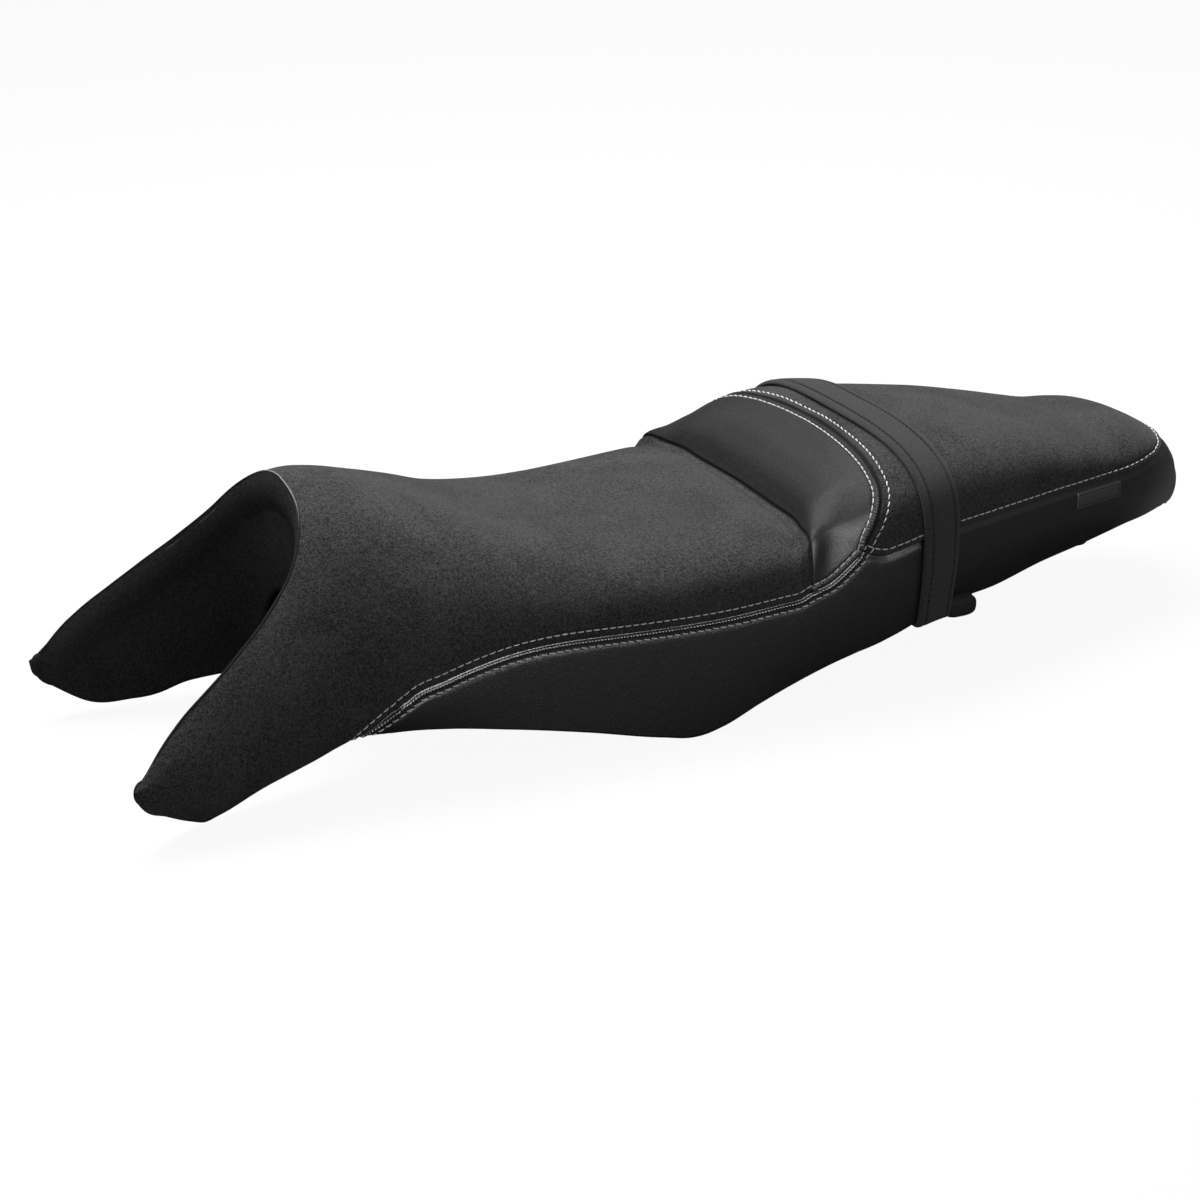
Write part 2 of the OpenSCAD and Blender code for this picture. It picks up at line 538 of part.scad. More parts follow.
// The space between the horns, grown into the foam by g
arch_n = 14;
function grown(p, i, g) = let (a = p[max(i - 1, 0)], b = p[min(i + 1, len(p) - 1)],
        d = [b[0] - a[0], b[1] - a[1]])
    p[i] + g * [d[1], -d[0], 0] / norm(d);
function arch_ring(p, g, z) = let (q = [for (i = [0:len(p) - 1]) grown(p, i, g)],
        far = tip_x + 30, last = q[len(q) - 1], h = is_undef(z) ? last[2] : z)
    concat([for (r = q) is_undef(z) ? r : [r[0], r[1], z]],
        [[far, last[1], h], [far, q[0][1], h]]);
module arch_space(g) {
    upper = [for (k = [arch_n:-1:-arch_n]) rim(k / arch_n)];
    lower = [for (k = [arch_n:-1:-arch_n]) foot(k / arch_n)];
    rings([arch_ring(lower, g, -20), arch_ring(lower, g), arch_ring(upper, g),
        arch_ring(upper, g, nose_h + 40)]);
}
// The way from the arch into the hollow under the deck
tunnel_w = 0.98 * arch_w / 2;
tunnel_h = 0.62 * nose_h;
module tunnel() translate([pan_front - 14, 0, 0]) rotate([90, 0, 90])
    linear_extrude(arch_x - pan_front + 16)
    polygon(concat([[tunnel_w / 2, -20]],
        [for (a = [0:15:180]) let (r = reach(abs(90 - a), 3))
            [tunnel_w / 2 * r * cos(a), tunnel_h * (0.5 + 0.5 * r * sin(a))]],
        [[-tunnel_w / 2, -20]]));

// Where the screws meet the pan
strap_foot_h = strap_edge_h - 1;
striker_x = strap_x - striker_back;
screw_y = striker_w / 2 + screw_out_y;
plate_w = 2 * screw_y + 14;
plate_top = strap_edge_h + 2;
tongue_x = rider_x(0.9);
tongue_top = 0.52 * nose_h;
tongue_screw_x = tongue_x - 0.6 * tongue_len;
tongue_screw_y = tongue_w / 3.4;
damper_places = [[rider_x(0.55), 66], [pad_x(0.68), 30]];
boss_places = concat(
    [for (s = [-1, 1]) [strap_mid_x, s * bolt_y, strap_foot_h, bolt_d]],
    [for (s = [-1, 1], e = [-1, 1]) [striker_x + e * screw_out_x, s * screw_y,
        plate_top, screw_d]],
    [for (s = [-1, 1]) [tongue_screw_x, s * tongue_screw_y, tongue_top, screw_d]],
    [for (p = damper_places, s = [-1, 1]) [p[0], s * p[1],
        damper_rest_h + damper_t, screw_d]]);

seam_n = 25;
module rider_panel() color([0.2, 0.2, 0.21]) panel(both_halves(from_share(fill(
    to_share(walk(step_seam, cross_n)), to_share(rim_edge),
    [for (i = [0:long_n]) [mix(step_x, arch_x, i / long_n), 0]],
    to_share(concat(walk(front_seam, seam_n),
        tail_of(walk(horn_hem, long_n - seam_n))))))));

module step_panel() color([0.15, 0.15, 0.16]) panel(both_halves(fill(
    concat(walk(crown_seam, 10), tail_of(walk(rear_seam, 4, 1, 0))),
    walk(step_seam, 14),
    [for (i = [0:8]) [mix(crown_start[0], step_x, i / 8), 0]],
    [for (i = [0:8]) mix(double_rear, step_end, i / 8)])));

module passenger_panel() color([0.2, 0.2, 0.21]) panel(both_halves(fill(
    walk(tail_seam, cross_n, 1, 0), walk(crown_seam, cross_n),
    [for (i = [0:24]) mix(seam_tail, crown_start, i / 24)],
    walk(pad_seam, 24, 1, 0))));

// The side panels run in upright rows from their seams down to the hem
side_n = 7;
side_top = concat([for (f = [0, 0.1, 0.3, 0.55, 0.8])
        [mix(tail_x, seam_tail[0], f), 0]], walk(tail_seam, 8, 1, 0),
    tail_of(walk(pad_seam, 18, 1, 0)), tail_of(walk(rear_seam, 4, 1, 0)),
    [for (p = walk(front_seam, seam_n)) if (p[1] <= 1) p]);
module side_panel() color([0.1, 0.1, 0.11]) panel([for (p = side_top)
    [for (j = [0:side_n]) [p[0], mix(p[1], hem_q, j / side_n)]]]);
module side_panel_left() side_panel();
module side_panel_right() mirror([0, 1, 0]) side_panel();

lining = [for (s = [0:5]) [for (k = [-arch_n:arch_n]) let (t = k / arch_n)
    mix(rim_under(t), foot(t), s / 5)]];
module arch_lining() color([0.17, 0.16, 0.16]) skin(lining, sink(lining, cover_t));

// Shapes that only meet along free curves are joined as one closed mesh
module one_mesh() resize([0, 0, 0]) children();
module foam_core() color([0.85, 0.82, 0.7]) one_mesh() difference() {
    seat_inside(cover_t + foam_gap);
    pan_inside(-fit, 30, pan_rear, pan_front + fit);
    arch_space(cover_t + fit);
    tunnel();
}

module boss(p) translate([p[0], p[1], p[2]])
    cylinder(d = boss_d, h = at(deck_h, p[0]) - pan_t / 2 - p[2], $fn = boss_fn);
module base_pan() color([0.12, 0.12, 0.13]) one_mesh() difference() {
    union() {
        difference() {
            pan_inside(0, 0, pan_rear, pan_front);
            pan_inside(pan_t, 30, pan_rear + pan_t, pan_front - pan_t);
            tunnel();
        }
        for (p = boss_places) boss(p);
    }
    for (p = boss_places) translate([p[0], p[1], p[2] - 1])
        cylinder(d = p[3], h = bolt_reach + 8, $fn = boss_fn);
}

// A hexagon-head screw that stands on its head's upper face
head_w = 1.8;
head_h = 0.6;
module screw(d, h) {
    cylinder(d = d, h = h, $fn = bore_fn);
    translate([0, 0, -head_h * d]) cylinder(d = head_w * d, h = head_h * d, $fn = 6);
}

// The tongue's screws are sunk, so that its underside is one flat face
tongue_seat = tongue_top - tongue_t + head_h * screw_d + fit;
module front_tongue() color([0.1, 0.1, 0.1]) difference() {
    translate([0, 0, tongue_top - tongue_t]) linear_extrude(tongue_t)
        polygon([[tongue_x - tongue_len, -tongue_w / 2], [tongue_x - 10, -tongue_w / 2],
            [tongue_x, -tongue_w / 2 + 12], [tongue_x, tongue_w / 2 - 12],
            [tongue_x - 10, tongue_w / 2], [tongue_x - tongue_len, tongue_w / 2]]);
    for (s = [-1, 1]) translate([tongue_screw_x, s * tongue_screw_y, 0]) {
        cylinder(d = screw_d + 2 * fit, h = nose_h, $fn = bore_fn);
        cylinder(d = head_w * screw_d + 2 * fit, h = tongue_seat, $fn = bore_fn);
    }
}
module tongue_screws() color("silver") for (s = [-1, 1])
    translate([tongue_screw_x, s * tongue_screw_y, tongue_seat])
    screw(screw_d, tongue_top - tongue_seat + screw_reach);

// The strap follows the seat's surface, turns under its edge and runs inwards
function strap_row(x, out) = let (n = 16,
        p = [for (k = [-n:n]) seat(x, k / n)],
        top = [for (k = [0:2 * n]) let (a = p[max(k - 1, 0)], b = p[min(k + 1, 2 * n)],
            d = [0, a[2] - b[2], b[1] - a[1]]) p[k] + out * d / norm(d)],
        foot = [x, bolt_y - 12, strap_foot_h - out])
    concat([[x, -foot[1], foot[2]], [x, top[0][1] + 4, foot[2]]], top,
        [[x, top[2 * n][1] - 4, foot[2]], foot]);
module band(x0, x1, low, high) {
    g = [for (k = [0:3]) strap_row(mix(x0, x1, k / 3), low)];
    skin(sink(g, low - high), g);
}
module strap_holes() for (s = [-1, 1]) translate([strap_mid_x, s * bolt_y, 0])
    cylinder(d = bolt_d + 2 * fit, h = strap_edge_h + 4, $fn = bore_fn);
strap_gap = 2 * fit;
web_gap = strap_gap + (strap_t - web_t) / 2;
web_x0 = strap_mid_x - web_w / 2;
module strap_cover() color([0.13, 0.13, 0.14]) difference() {
    band(strap_x - strap_w, strap_x, strap_gap, strap_gap + strap_t);
    band(web_x0 - fit, web_x0 + web_w + fit, web_gap - fit, web_gap + web_t + fit);
    strap_holes();
}
module strap_webbing() color([0.08, 0.08, 0.08]) difference() {
    band(web_x0, web_x0 + web_w, web_gap, web_gap + web_t);
    strap_holes();
}
clamp_top = strap_foot_h - strap_gap - strap_t;
washer_foot = clamp_top - clamp_t - washer_t;
module strap_clamps() color("silver") difference() {
    for (s = [-1, 1]) translate([strap_mid_x, s * bolt_y, clamp_top - clamp_t / 2])
        cube([strap_w - 4, clamp_len, clamp_t], center = true);
    strap_holes();
}
module strap_washers() color("gainsboro") for (s = [-1, 1])
    translate([strap_mid_x, s * bolt_y, washer_foot]) difference() {
        cylinder(d = 2.1 * bolt_d, h = washer_t, $fn = bore_fn);
        translate([0, 0, -1]) cylinder(d = bolt_d + 2 * fit, h = washer_t + 2, $fn = bore_fn);
    }
module strap_bolts() color("silver") for (s = [-1, 1])
    translate([strap_mid_x, s * bolt_y, washer_foot])
    screw(bolt_d, clamp_t + washer_t + strap_t + bolt_reach);

// The striker is a bent rod welded under its plate; its bar is the pin
bend_r = rod_d;
module striker_rod() color("silver") translate([striker_x, 0, 0]) {
    for (s = [-1, 1]) translate([0, s * striker_w / 2, rod_d / 2 + bend_r])
        cylinder(d = rod_d, h = plate_top - plate_t - rod_d / 2 - bend_r, $fn = bore_fn);
    for (s = [0, 1]) mirror([0, s, 0])
        translate([0, striker_w / 2 - bend_r, rod_d / 2 + bend_r]) rotate([90, 90, 90])
        rotate_extrude(angle = 90, $fn = bore_fn) translate([bend_r, 0]) circle(d = rod_d);
    translate([0, striker_w / 2 - bend_r, rod_d / 2]) rotate([90, 0, 0])
        cylinder(d = rod_d, h = striker_w - 2 * bend_r, $fn = bore_fn);
}
module striker_plate() color("silver") difference() {
    translate([striker_x, 0, plate_top - plate_t / 2])
        cube([plate_l, plate_w, plate_t], center = true);
    for (s = [-1, 1], e = [-1, 1])
        translate([striker_x + e * screw_out_x, s * screw_y, 0])
        cylinder(d = screw_d + 2 * fit, h = pad_h, $fn = bore_fn);
}
module striker_screws() color("silver") for (s = [-1, 1], e = [-1, 1])
    translate([striker_x + e * screw_out_x, s * screw_y, plate_top - plate_t])
    screw(screw_d, plate_t + screw_reach);

module damper(i, s) color([0.07, 0.07, 0.07])
    translate([damper_places[i][0], s * damper_places[i][1], damper_rest_h]) {
    cylinder(d = damper_d, h = damper_t, $fn = bore_fn);
    cylinder(d = screw_d - fit, h = damper_t + 12, $fn = bore_fn);
}
module damper_front_left() damper(0, 1);
module damper_front_right() damper(0, -1);
module damper_rear_left() damper(1, 1);
module damper_rear_right() damper(1, -1);

// Rubber blocks under the edge, just behind the strap
block_x = strap_x - strap_w - 6 - block_len / 2;
block_y = at(half_w, block_x) - at(tuck_w, block_x) - hem_w / 2 - 2;
module edge_block(s) color([0.06, 0.06, 0.06])
    translate([block_x, s * block_y, at(edge_h, block_x) - fit - block_h])
    linear_extrude(block_h) hull() for (e = [-1, 1])
        translate([e * (block_len / 2 - 4), 0]) circle(d = hem_w - 2, $fn = 32);
module edge_block_left() edge_block(1);
module edge_block_right() edge_block(-1);

// Staples hold the hem against the pan's skirt
staple_step = 26;
module cover_staples() color("gainsboro") for (s = [-1, 1], k = [0:24])
    let (x = pad_x(0.8) + k * staple_step, y = at(half_w, x) - at(tuck_w, x)
        - cover_t - skirt_in - pan_t / 2, rise = at(edge_h, x + 1) - at(edge_h, x))
    if (x < rider_x(0.93) && abs(x - rider_x(0.29)) > 24
        && abs(x - strap_mid_x) > strap_w / 2 + 8 && abs(x - block_x) > block_len / 2 + 8)
        translate([x, s * y, at(edge_h, x)]) rotate([0, -atan(rise), 0])
        cube([10, 1.2, 1.4], center = true);

tag_t = 0.8;
tag_grid = [for (i = [0:6]) [for (j = [0:3]) seat(pad_x(0.71) + i / 6 * tag_len,
    0.5 + 0.007 * tag_h * j / 3)]];
module side_tag() color([0.2, 0.2, 0.2]) skin(sink(tag_grid, -fit - tag_t), sink(tag_grid, -fit));

rider_panel();
step_panel();
passenger_panel();
side_panel_left();
side_panel_right();
arch_lining();
foam_core();
base_pan();
front_tongue();
tongue_screws();
strap_cover();
strap_webbing();
strap_clamps();
strap_bolts();
strap_washers();
striker_rod();
striker_plate();
striker_screws();
damper_front_left();
damper_front_right();
damper_rear_left();
damper_rear_right();
edge_block_left();
edge_block_right();
cover_staples();
side_tag();
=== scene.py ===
"""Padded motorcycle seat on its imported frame: covers, seams, stitches, lining and grab strap.

Lengths are in millimetres until a mesh is made, and then in metres.  The frame is the CAD's:
+X forward, +Y to the rider's left, +Z up, origin on the floor under the middle of the seat.
"""
import json
import math

import bpy
import numpy as np
from mathutils import Matrix, Vector
from mathutils.bvhtree import BVHTree

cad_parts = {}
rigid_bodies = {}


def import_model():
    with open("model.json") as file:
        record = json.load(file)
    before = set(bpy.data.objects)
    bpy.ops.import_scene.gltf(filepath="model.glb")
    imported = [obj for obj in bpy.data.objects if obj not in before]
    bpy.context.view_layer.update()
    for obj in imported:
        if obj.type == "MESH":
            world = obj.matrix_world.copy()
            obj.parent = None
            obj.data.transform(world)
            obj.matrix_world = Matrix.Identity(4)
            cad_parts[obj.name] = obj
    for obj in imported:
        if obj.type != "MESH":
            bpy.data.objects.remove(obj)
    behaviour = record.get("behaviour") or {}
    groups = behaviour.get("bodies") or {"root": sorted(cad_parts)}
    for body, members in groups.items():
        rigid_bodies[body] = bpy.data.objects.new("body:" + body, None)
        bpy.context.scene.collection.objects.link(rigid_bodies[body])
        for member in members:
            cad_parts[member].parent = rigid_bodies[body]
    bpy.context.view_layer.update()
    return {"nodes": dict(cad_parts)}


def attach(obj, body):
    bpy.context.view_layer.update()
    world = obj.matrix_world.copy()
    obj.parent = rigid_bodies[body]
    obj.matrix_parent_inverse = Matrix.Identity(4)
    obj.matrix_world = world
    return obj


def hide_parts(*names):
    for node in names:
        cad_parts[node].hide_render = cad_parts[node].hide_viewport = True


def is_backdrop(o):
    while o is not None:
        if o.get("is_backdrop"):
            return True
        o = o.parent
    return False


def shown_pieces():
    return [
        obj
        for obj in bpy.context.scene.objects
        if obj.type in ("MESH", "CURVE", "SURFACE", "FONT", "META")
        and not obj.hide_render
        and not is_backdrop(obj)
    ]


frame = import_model()
MM = 0.001
for spare in [o for o in bpy.data.objects if o.name in ("Cube", "Light", "Camera")]:
    bpy.data.objects.remove(spare)

# ---------------------------------------------------------------- camera
IMAGE = 1200
CAM_LENS = 87.06
CAM_SENSOR = 36.0
FOCAL = IMAGE * CAM_LENS / CAM_SENSOR
CAM_AROUND = 27.07
CAM_ABOVE = 23.0
CAM_PLACE = (0.892, 1.649, 0.841)


def camera_axes():
    """The camera's right, up and back, from its angle round the seat and above the floor."""
    a, e = math.radians(CAM_AROUND), math.radians(CAM_ABOVE)
    out = np.array([math.sin(a), math.cos(a), 0])
    up = np.array([0, 0, 1.0])
    right = np.array([-math.cos(a), math.sin(a), 0])
    return right, math.cos(e) * up - math.sin(e) * out, math.cos(e) * out + math.sin(e) * up


def make_camera():
    data = bpy.data.cameras.new("camera")
    data.sensor_fit = "AUTO"
    data.sensor_width = CAM_SENSOR
    data.lens = CAM_LENS
    data.clip_start = 0.05
    data.clip_end = 60
    cam = bpy.data.objects.new("camera", data)
    bpy.context.collection.objects.link(cam)
    turn = Matrix([list(v) for v in camera_axes()]).transposed()
    cam.matrix_world = Matrix.Translation(CAM_PLACE) @ turn.to_4x4()
    bpy.context.scene.camera = cam


make_camera()

# ---------------------------------------------------------------- the seat's surface
HORN_LEN, RIDER_LEN, STEP_LEN, PAD_LEN = 143, 340, 60, 305
BELT_Q = 0.6
HEM_Q = 1.1
END_Q = 1.04
TAIL_X = -(HORN_LEN + RIDER_LEN + STEP_LEN + PAD_LEN) / 2
TIP_X = -TAIL_X
CROWN_X = TAIL_X + PAD_LEN
STEP_X = CROWN_X + STEP_LEN
ARCH_X = STEP_X + RIDER_LEN


class Guide:
    """A smooth curve through [place, value] knots: cubic pieces with three-point slopes."""

    def __init__(self, knots):
        knots = np.array(knots, float)
        self.x, self.v = knots[:, 0], knots[:, 1]
        self.h = np.diff(self.x)
        s = np.diff(self.v) / self.h
        inner = (s[:-1] * self.h[1:] + s[1:] * self.h[:-1]) / (self.h[:-1] + self.h[1:])
        self.m = np.concatenate([s[:1], inner, s[-1:]])

    def __call__(self, x):
        x = np.clip(x, self.x[0], self.x[-1])
        i = np.clip(np.searchsorted(self.x, x, side="right") - 1, 0, len(self.h) - 1)
        h = self.h[i]
        t = (x - self.x[i]) / h
        return ((1 + (2 * t - 3) * t * t) * self.v[i] + (3 - 2 * t) * t * t * self.v[i + 1]
                + (1 + (t - 2) * t) * t * h * self.m[i] + (t - 1) * t * t * h * self.m[i + 1])


# The step comes forward towards the sides: the top's height is read up to 22 mm further
# back there, most at x = -75.2 and not at all 85 mm from it
STEP_BEND, BEND_X, BEND_REACH, BEND_Y = 22, -75.2, 85, 119.7

# Along the seat: height of the top, half width and height of the widest line, squareness
# of the section, and height and tuck of the lower edge
top_h = Guide([
    (-424, 72), (-420, 91), (-414, 102), (-405, 113), (-390, 122), (-372, 128), (-354, 130),
    (-339, 130), (-317, 134), (-279, 143), (-243, 151), (-204, 158), (-168, 162.6),
    (-134, 164), (-119, 161), (-100, 155), (-80, 146), (-68, 137), (-59, 125), (-42, 125),
    (29, 125), (60, 126.2), (87, 129), (116, 135), (152, 146), (186, 160.6), (218, 173),
    (250, 183.6), (267, 187), (281, 187), (294, 184.3), (305, 177.4), (324, 167), (351, 153),
    (371, 139), (392, 118), (409, 92.5), (420, 63.7), (424, 50)])
half_w = Guide([
    (-424, 0.2), (-421, 24), (-414, 36), (-403, 46), (-390, 55), (-372, 65), (-350, 73),
    (-305, 82.7), (-260, 91.5), (-220, 100.4), (-177, 110), (-134, 122), (-93, 126),
    (-59, 126), (-1, 125), (60, 123), (121, 121), (179, 118), (240, 115), (367, 115),
    (410, 114), (424, 111)])
belt_h = Guide([
    (-424, 66), (-414, 80), (-390, 90), (-350, 96), (-204, 98), (-134, 98), (-93, 92),
    (-59, 80), (-1, 71), (179, 71), (240, 63), (281, 55), (324, 51), (371, 44), (410, 41),
    (424, 41)])
square_n = Guide([
    (-424, 2.2), (-400, 2.8), (-351, 3.4), (-250, 3.6), (-134, 3.25), (-95, 3.8), (-59, 5),
    (-1, 5.2), (60, 4.2), (121, 3.1), (186, 2.4), (218, 2.1), (250, 1.9), (281, 1.8),
    (424, 1.8)])
edge_h = Guide([
    (-424, 63), (-420, 58), (-403, 60), (-354, 61), (-307, 56), (-264, 53), (-223, 49),
    (-140, 48), (-127, 44.6), (-107, 40), (-59, 30), (-9, 14.4), (19, 3.4), (36, 0), (43, 0),
    (64, 4.4), (121, 20), (177, 33), (209, 39), (248, 44), (281, 44), (308, 34.6), (342, 22.4),
    (370, 10.2), (379, 8), (388, 11), (404, 19), (420, 29), (424, 36)])
hem_w = Guide([(-424, 14), (388, 14), (405, 8), (419.7, 2.2), (424, 1.5)])
tuck_w = Guide([
    (-424, 2), (-420, 4.8), (-403, 7.2), (-354, 12), (-223, 10.8), (-140, 5.4), (-59, 4.2),
    (-1, 1.8), (179, 1.2), (247, 3.6), (342, 9), (380, 10.2), (424, 3.6)])


def seat(x, q):
    """Points of the outer surface.

    q is 0 on the middle line, 0.6 at the widest line, 1 at the lower edge and 1.1 at the
    hem's inner edge; its sign is the side.  Above the widest line a section is
    y = w r sin a, z = zw + (top - zw) r cos a with r = (cos^n a + sin^n a)^(-1/n) and
    a = 90 q / 0.6 degrees; below it the flank runs in by the tuck times t^2.
    """
    x, q = np.broadcast_arrays(np.asarray(x, float), np.asarray(q, float))
    side, q = np.sign(q), np.abs(q)
    w, zw, n = half_w(x), belt_h(x), square_n(x)
    a = np.radians(90 * np.minimum(q / BELT_Q, 1))
    c, s = np.maximum(np.cos(a), 0), np.sin(a)
    r = (c ** n + s ** n) ** (-1 / n)
    y = w * r * s
    bend = np.clip(1 - np.abs((x - BEND_X) / BEND_REACH) ** 3, 0, 1)
    z = zw + (top_h(x - STEP_BEND * bend * np.minimum(y / BEND_Y, 1) ** 4) - zw) * r * c
    t = (np.clip(q, BELT_Q, 1) - BELT_Q) / (1 - BELT_Q)
    hem = np.maximum(q - 1, 0) / (HEM_Q - 1)
    low_y = np.maximum(w - tuck_w(x) * t * t - hem_w(x) * hem, 0.2)
    low_z = zw + (edge_h(x) - zw) * t + 0.2 * hem
    low = q > BELT_Q
    return np.stack([x, side * np.where(low, low_y, y), np.where(low, low_z, z)], -1)


def unit(v):
    return v / np.maximum(np.linalg.norm(v, axis=-1, keepdims=True), 1e-9)


def run_along(p):
    """The length from the start of a line of points to each of them."""
    return np.concatenate([[0], np.cumsum(np.linalg.norm(np.diff(p, axis=0), axis=1))])


def seat_normal(x, q):
    """Outward normal of the surface, from differences of 1 mm and 0.01 in q."""
    along = seat(x + 1, q) - seat(x - 1, q)
    return unit(np.cross(along, seat(x, q + 0.01) - seat(x, q - 0.01)))


def q_at_width(x, y):
    """The q of the surface's upper part where it is y from the middle."""
    a = np.minimum(y / half_w(x), 0.999) ** square_n(x)
    return BELT_Q * np.degrees(np.arctan((a / (1 - a)) ** (1 / square_n(x)))) / 90


# ---------------------------------------------------------------- seams, as [x, q] knots
STEP_END = (-45.2, 0.525)
DOUBLE_REAR = (-51.8, 0.529)
CROWN_START = (-121, 0)
CORNER = (-86, 0.487)
SEAM_FRONT = (276.6, END_Q)
SEAM_TAIL = (-407, 0)
STEP_SEAM = [(STEP_X, 0), (-57.8, 0.14), (-56, 0.214), (-50, 0.283), (-45.8, 0.344),
             (-45.2, 0.43), STEP_END]
CROWN_SEAM = [CROWN_START, (-120, 0.072), (-118, 0.144), (-115, 0.211), (-111, 0.275),
              (-107, 0.33), (-103, 0.364), (-96, 0.411), (-89, 0.448), CORNER]
FRONT_SEAM = [STEP_END, (-21.6, 0.52), (39.6, 0.509), (97.4, 0.512), (148.4, 0.526),
              (188.2, 0.55), (216.4, 0.57), (241.9, 0.588), (253.8, 0.62), (262, 0.726),
              (268.4, 0.84), (275.9, 1), SEAM_FRONT]
REAR_SEAM = [DOUBLE_REAR, (-59, 0.532), (-71, 0.517), CORNER]
PAD_SEAM = [CORNER, (-92, 0.512), (-101, 0.538), (-119.5, 0.547), (-134.8, 0.543),
            (-168, 0.546), (-220, 0.538), (-258, 0.534), (-296.2, 0.522), (-336, 0.49),
            (-358.2, 0.464), (-376, 0.43)]
TAIL_SEAM = [(-376, 0.43), (-390, 0.36), (-399.5, 0.26), (-405, 0.13), SEAM_TAIL]


class Trail:
    """A smooth line through [x, q] knots, read by its share of the length."""

    def __init__(self, knots):
        knots = np.array(knots, float)
        run = run_along(seat(knots[:, 0], knots[:, 1]))
        share = run / run[-1]
        self.x = Guide(np.stack([share, knots[:, 0]], 1))
        self.q = Guide(np.stack([share, knots[:, 1]], 1))

    def at(self, share):
        return np.stack([self.x(share), self.q(share)], -1)


def even(n):
    return np.linspace(0, 1, n + 1)


def crowded(n, ends=0.75):
    """n steps from 0 to 1 that are finer at both ends: t - e sin(2 pi t) / 2 pi."""
    t = even(n)
    return t - ends * np.sin(2 * np.pi * t) / (2 * np.pi)


def crowded_out(n, last=0.25):
    """n steps from 0 to 1 that shrink to a share last of the mean at 1: 1 - a b - (1 - a) b^3."""
    b = 1 - even(n)
    return 1 - last * b - (1 - last) * b ** 3


def joined(*lines):
    return np.concatenate([lines[0]] + [line[1:] for line in lines[1:]])


def fill(rear, front, middle, side, u, v):
    """Grid between four edges: rear and front run outwards, middle and side forwards.

    p = (1-u) rear + u front + (1-v) middle + v side - the four corners' blend."""
    u, v = u[:, None, None], v[None, :, None]
    corners = ((1 - u) * (1 - v) * rear[0] + (1 - u) * v * rear[-1]
               + u * (1 - v) * front[0] + u * v * front[-1])
    return ((1 - u) * rear[None] + u * front[None] + (1 - v) * middle[:, None]
            + v * side[:, None] - corners)


def relaxed(g, u, v, girth=170.0, rounds=500):
    """Unfolds a grid inside its border: |p_v|^2 p_uu - 2 (p_u . p_v) p_uv + |p_u|^2 p_vv = 0.

    The steps of u and v are uneven, so what is crowded at the border stays crowded.
    """
    p = g * np.array([1.0, girth])
    hu, hv = np.diff(u)[:, None, None], np.diff(v)[None, :, None]
    u0, u1, v0, v1 = hu[:-1], hu[1:], hv[:, :-1], hv[:, 1:]
    for _ in range(rounds):
        pu = (p[2:, 1:-1] - p[:-2, 1:-1]) / (u0 + u1)
        pv = (p[1:-1, 2:] - p[1:-1, :-2]) / (v0 + v1)
        puv = ((p[2:, 2:] - p[2:, :-2] - p[:-2, 2:] + p[:-2, :-2]) / (u0 + u1) / (v0 + v1))
        a = (pv ** 2).sum(-1, keepdims=True)
        b = (pu * pv).sum(-1, keepdims=True)
        c = (pu ** 2).sum(-1, keepdims=True)
        along = 2 * (p[2:, 1:-1] / u1 + p[:-2, 1:-1] / u0) / (u0 + u1)
        out = 2 * (p[1:-1, 2:] / v1 + p[1:-1, :-2] / v0) / (v0 + v1)
        p[1:-1, 1:-1] = ((a * along + c * out - 2 * b * puv)
                         / (2 * a / (u0 * u1) + 2 * c / (v0 * v1)))
    return p / np.array([1.0, girth])


def both_halves(g):
    """The left half's grid, mirrored about the middle line."""
    return np.concatenate([g[:, :0:-1] * np.array([1, -1.0]), g], axis=1)


def guides(rows):
    """One smooth curve for each column after the first, over the first column's shares."""
    rows = np.array(rows, float)
    return [Guide(rows[:, [0, i]]) for i in range(1, rows.shape[1])]


# The arch from its crown, 0, to a tip, 1: x and y of its rim, which lies on the surface,
# and x and y of the foot, which is the lining's lower edge
rim_x, rim_y, foot_x, foot_y = guides([
    (0, 281, 0, 275.9, 0), (0.174, 283.9, 40, 277.6, 36), (0.283, 293.9, 60, 282.4, 55.6),
    (0.476, 323.9, 80, 295.3, 64), (0.62, 351, 90, 323.9, 70.9), (0.83, 392, 100, 361, 81.8),
    (0.917, 409, 105, 389.7, 90.5), (1, 424, 109, 419.7, 104.1)])
# The foot's height, and x, y and z of where the lining ends under each horn: it turns in
# there from its foot to the hem and to the pan's front
foot_z, under_x, under_y, under_z = guides([
    (0, 104, 262, 0, 124), (0.174, 86, 262, 40, 118), (0.283, 44, 262, 74, 84),
    (0.38, 28, 268, 96, 50), (0.476, 26, 297, 101, 41), (0.62, 22.4, 324, 100, 31),
    (0.83, 12, 361, 99, 15.6), (0.917, 12, 389.7, 99, 14.5), (1, 29.1, 419.7, 104.6, 30)])


def rim_xq(t):
    """[x, q] of the rim at a signed share t, negative on the right."""
    a = np.abs(t)
    return np.stack([rim_x(a), np.sign(t) * q_at_width(rim_x(a), rim_y(a))], -1)


# The rider's panel is filled in shares of its girth, which fan out from the step to the tips
rider_low = Guide(FRONT_SEAM + [(ARCH_X, END_Q), (TIP_X, END_Q)])


FAN_X, FAN_Q = 100.8, 0.53


def fan(x):
    t = np.clip((x - FAN_X) / (TIP_X - FAN_X), 0, 1)
    return FAN_Q + (END_Q - FAN_Q) * t * t * (3 - 2 * t)


def to_share(g):
    """Solves q = fan w + (low - fan) w^3 for the share w, by repeated substitution."""
    x, q = g[..., 0], g[..., 1]
    w = np.full_like(q, 0.5)
    for _ in range(14):
        w = (q - (rider_low(x) - fan(x)) * w ** 3) / fan(x)
    return np.stack([x, w], -1)


def from_share(g):
    x, w = g[..., 0], g[..., 1]
    return np.stack([x, w * fan(x) + (rider_low(x) - fan(x)) * w ** 3], -1)


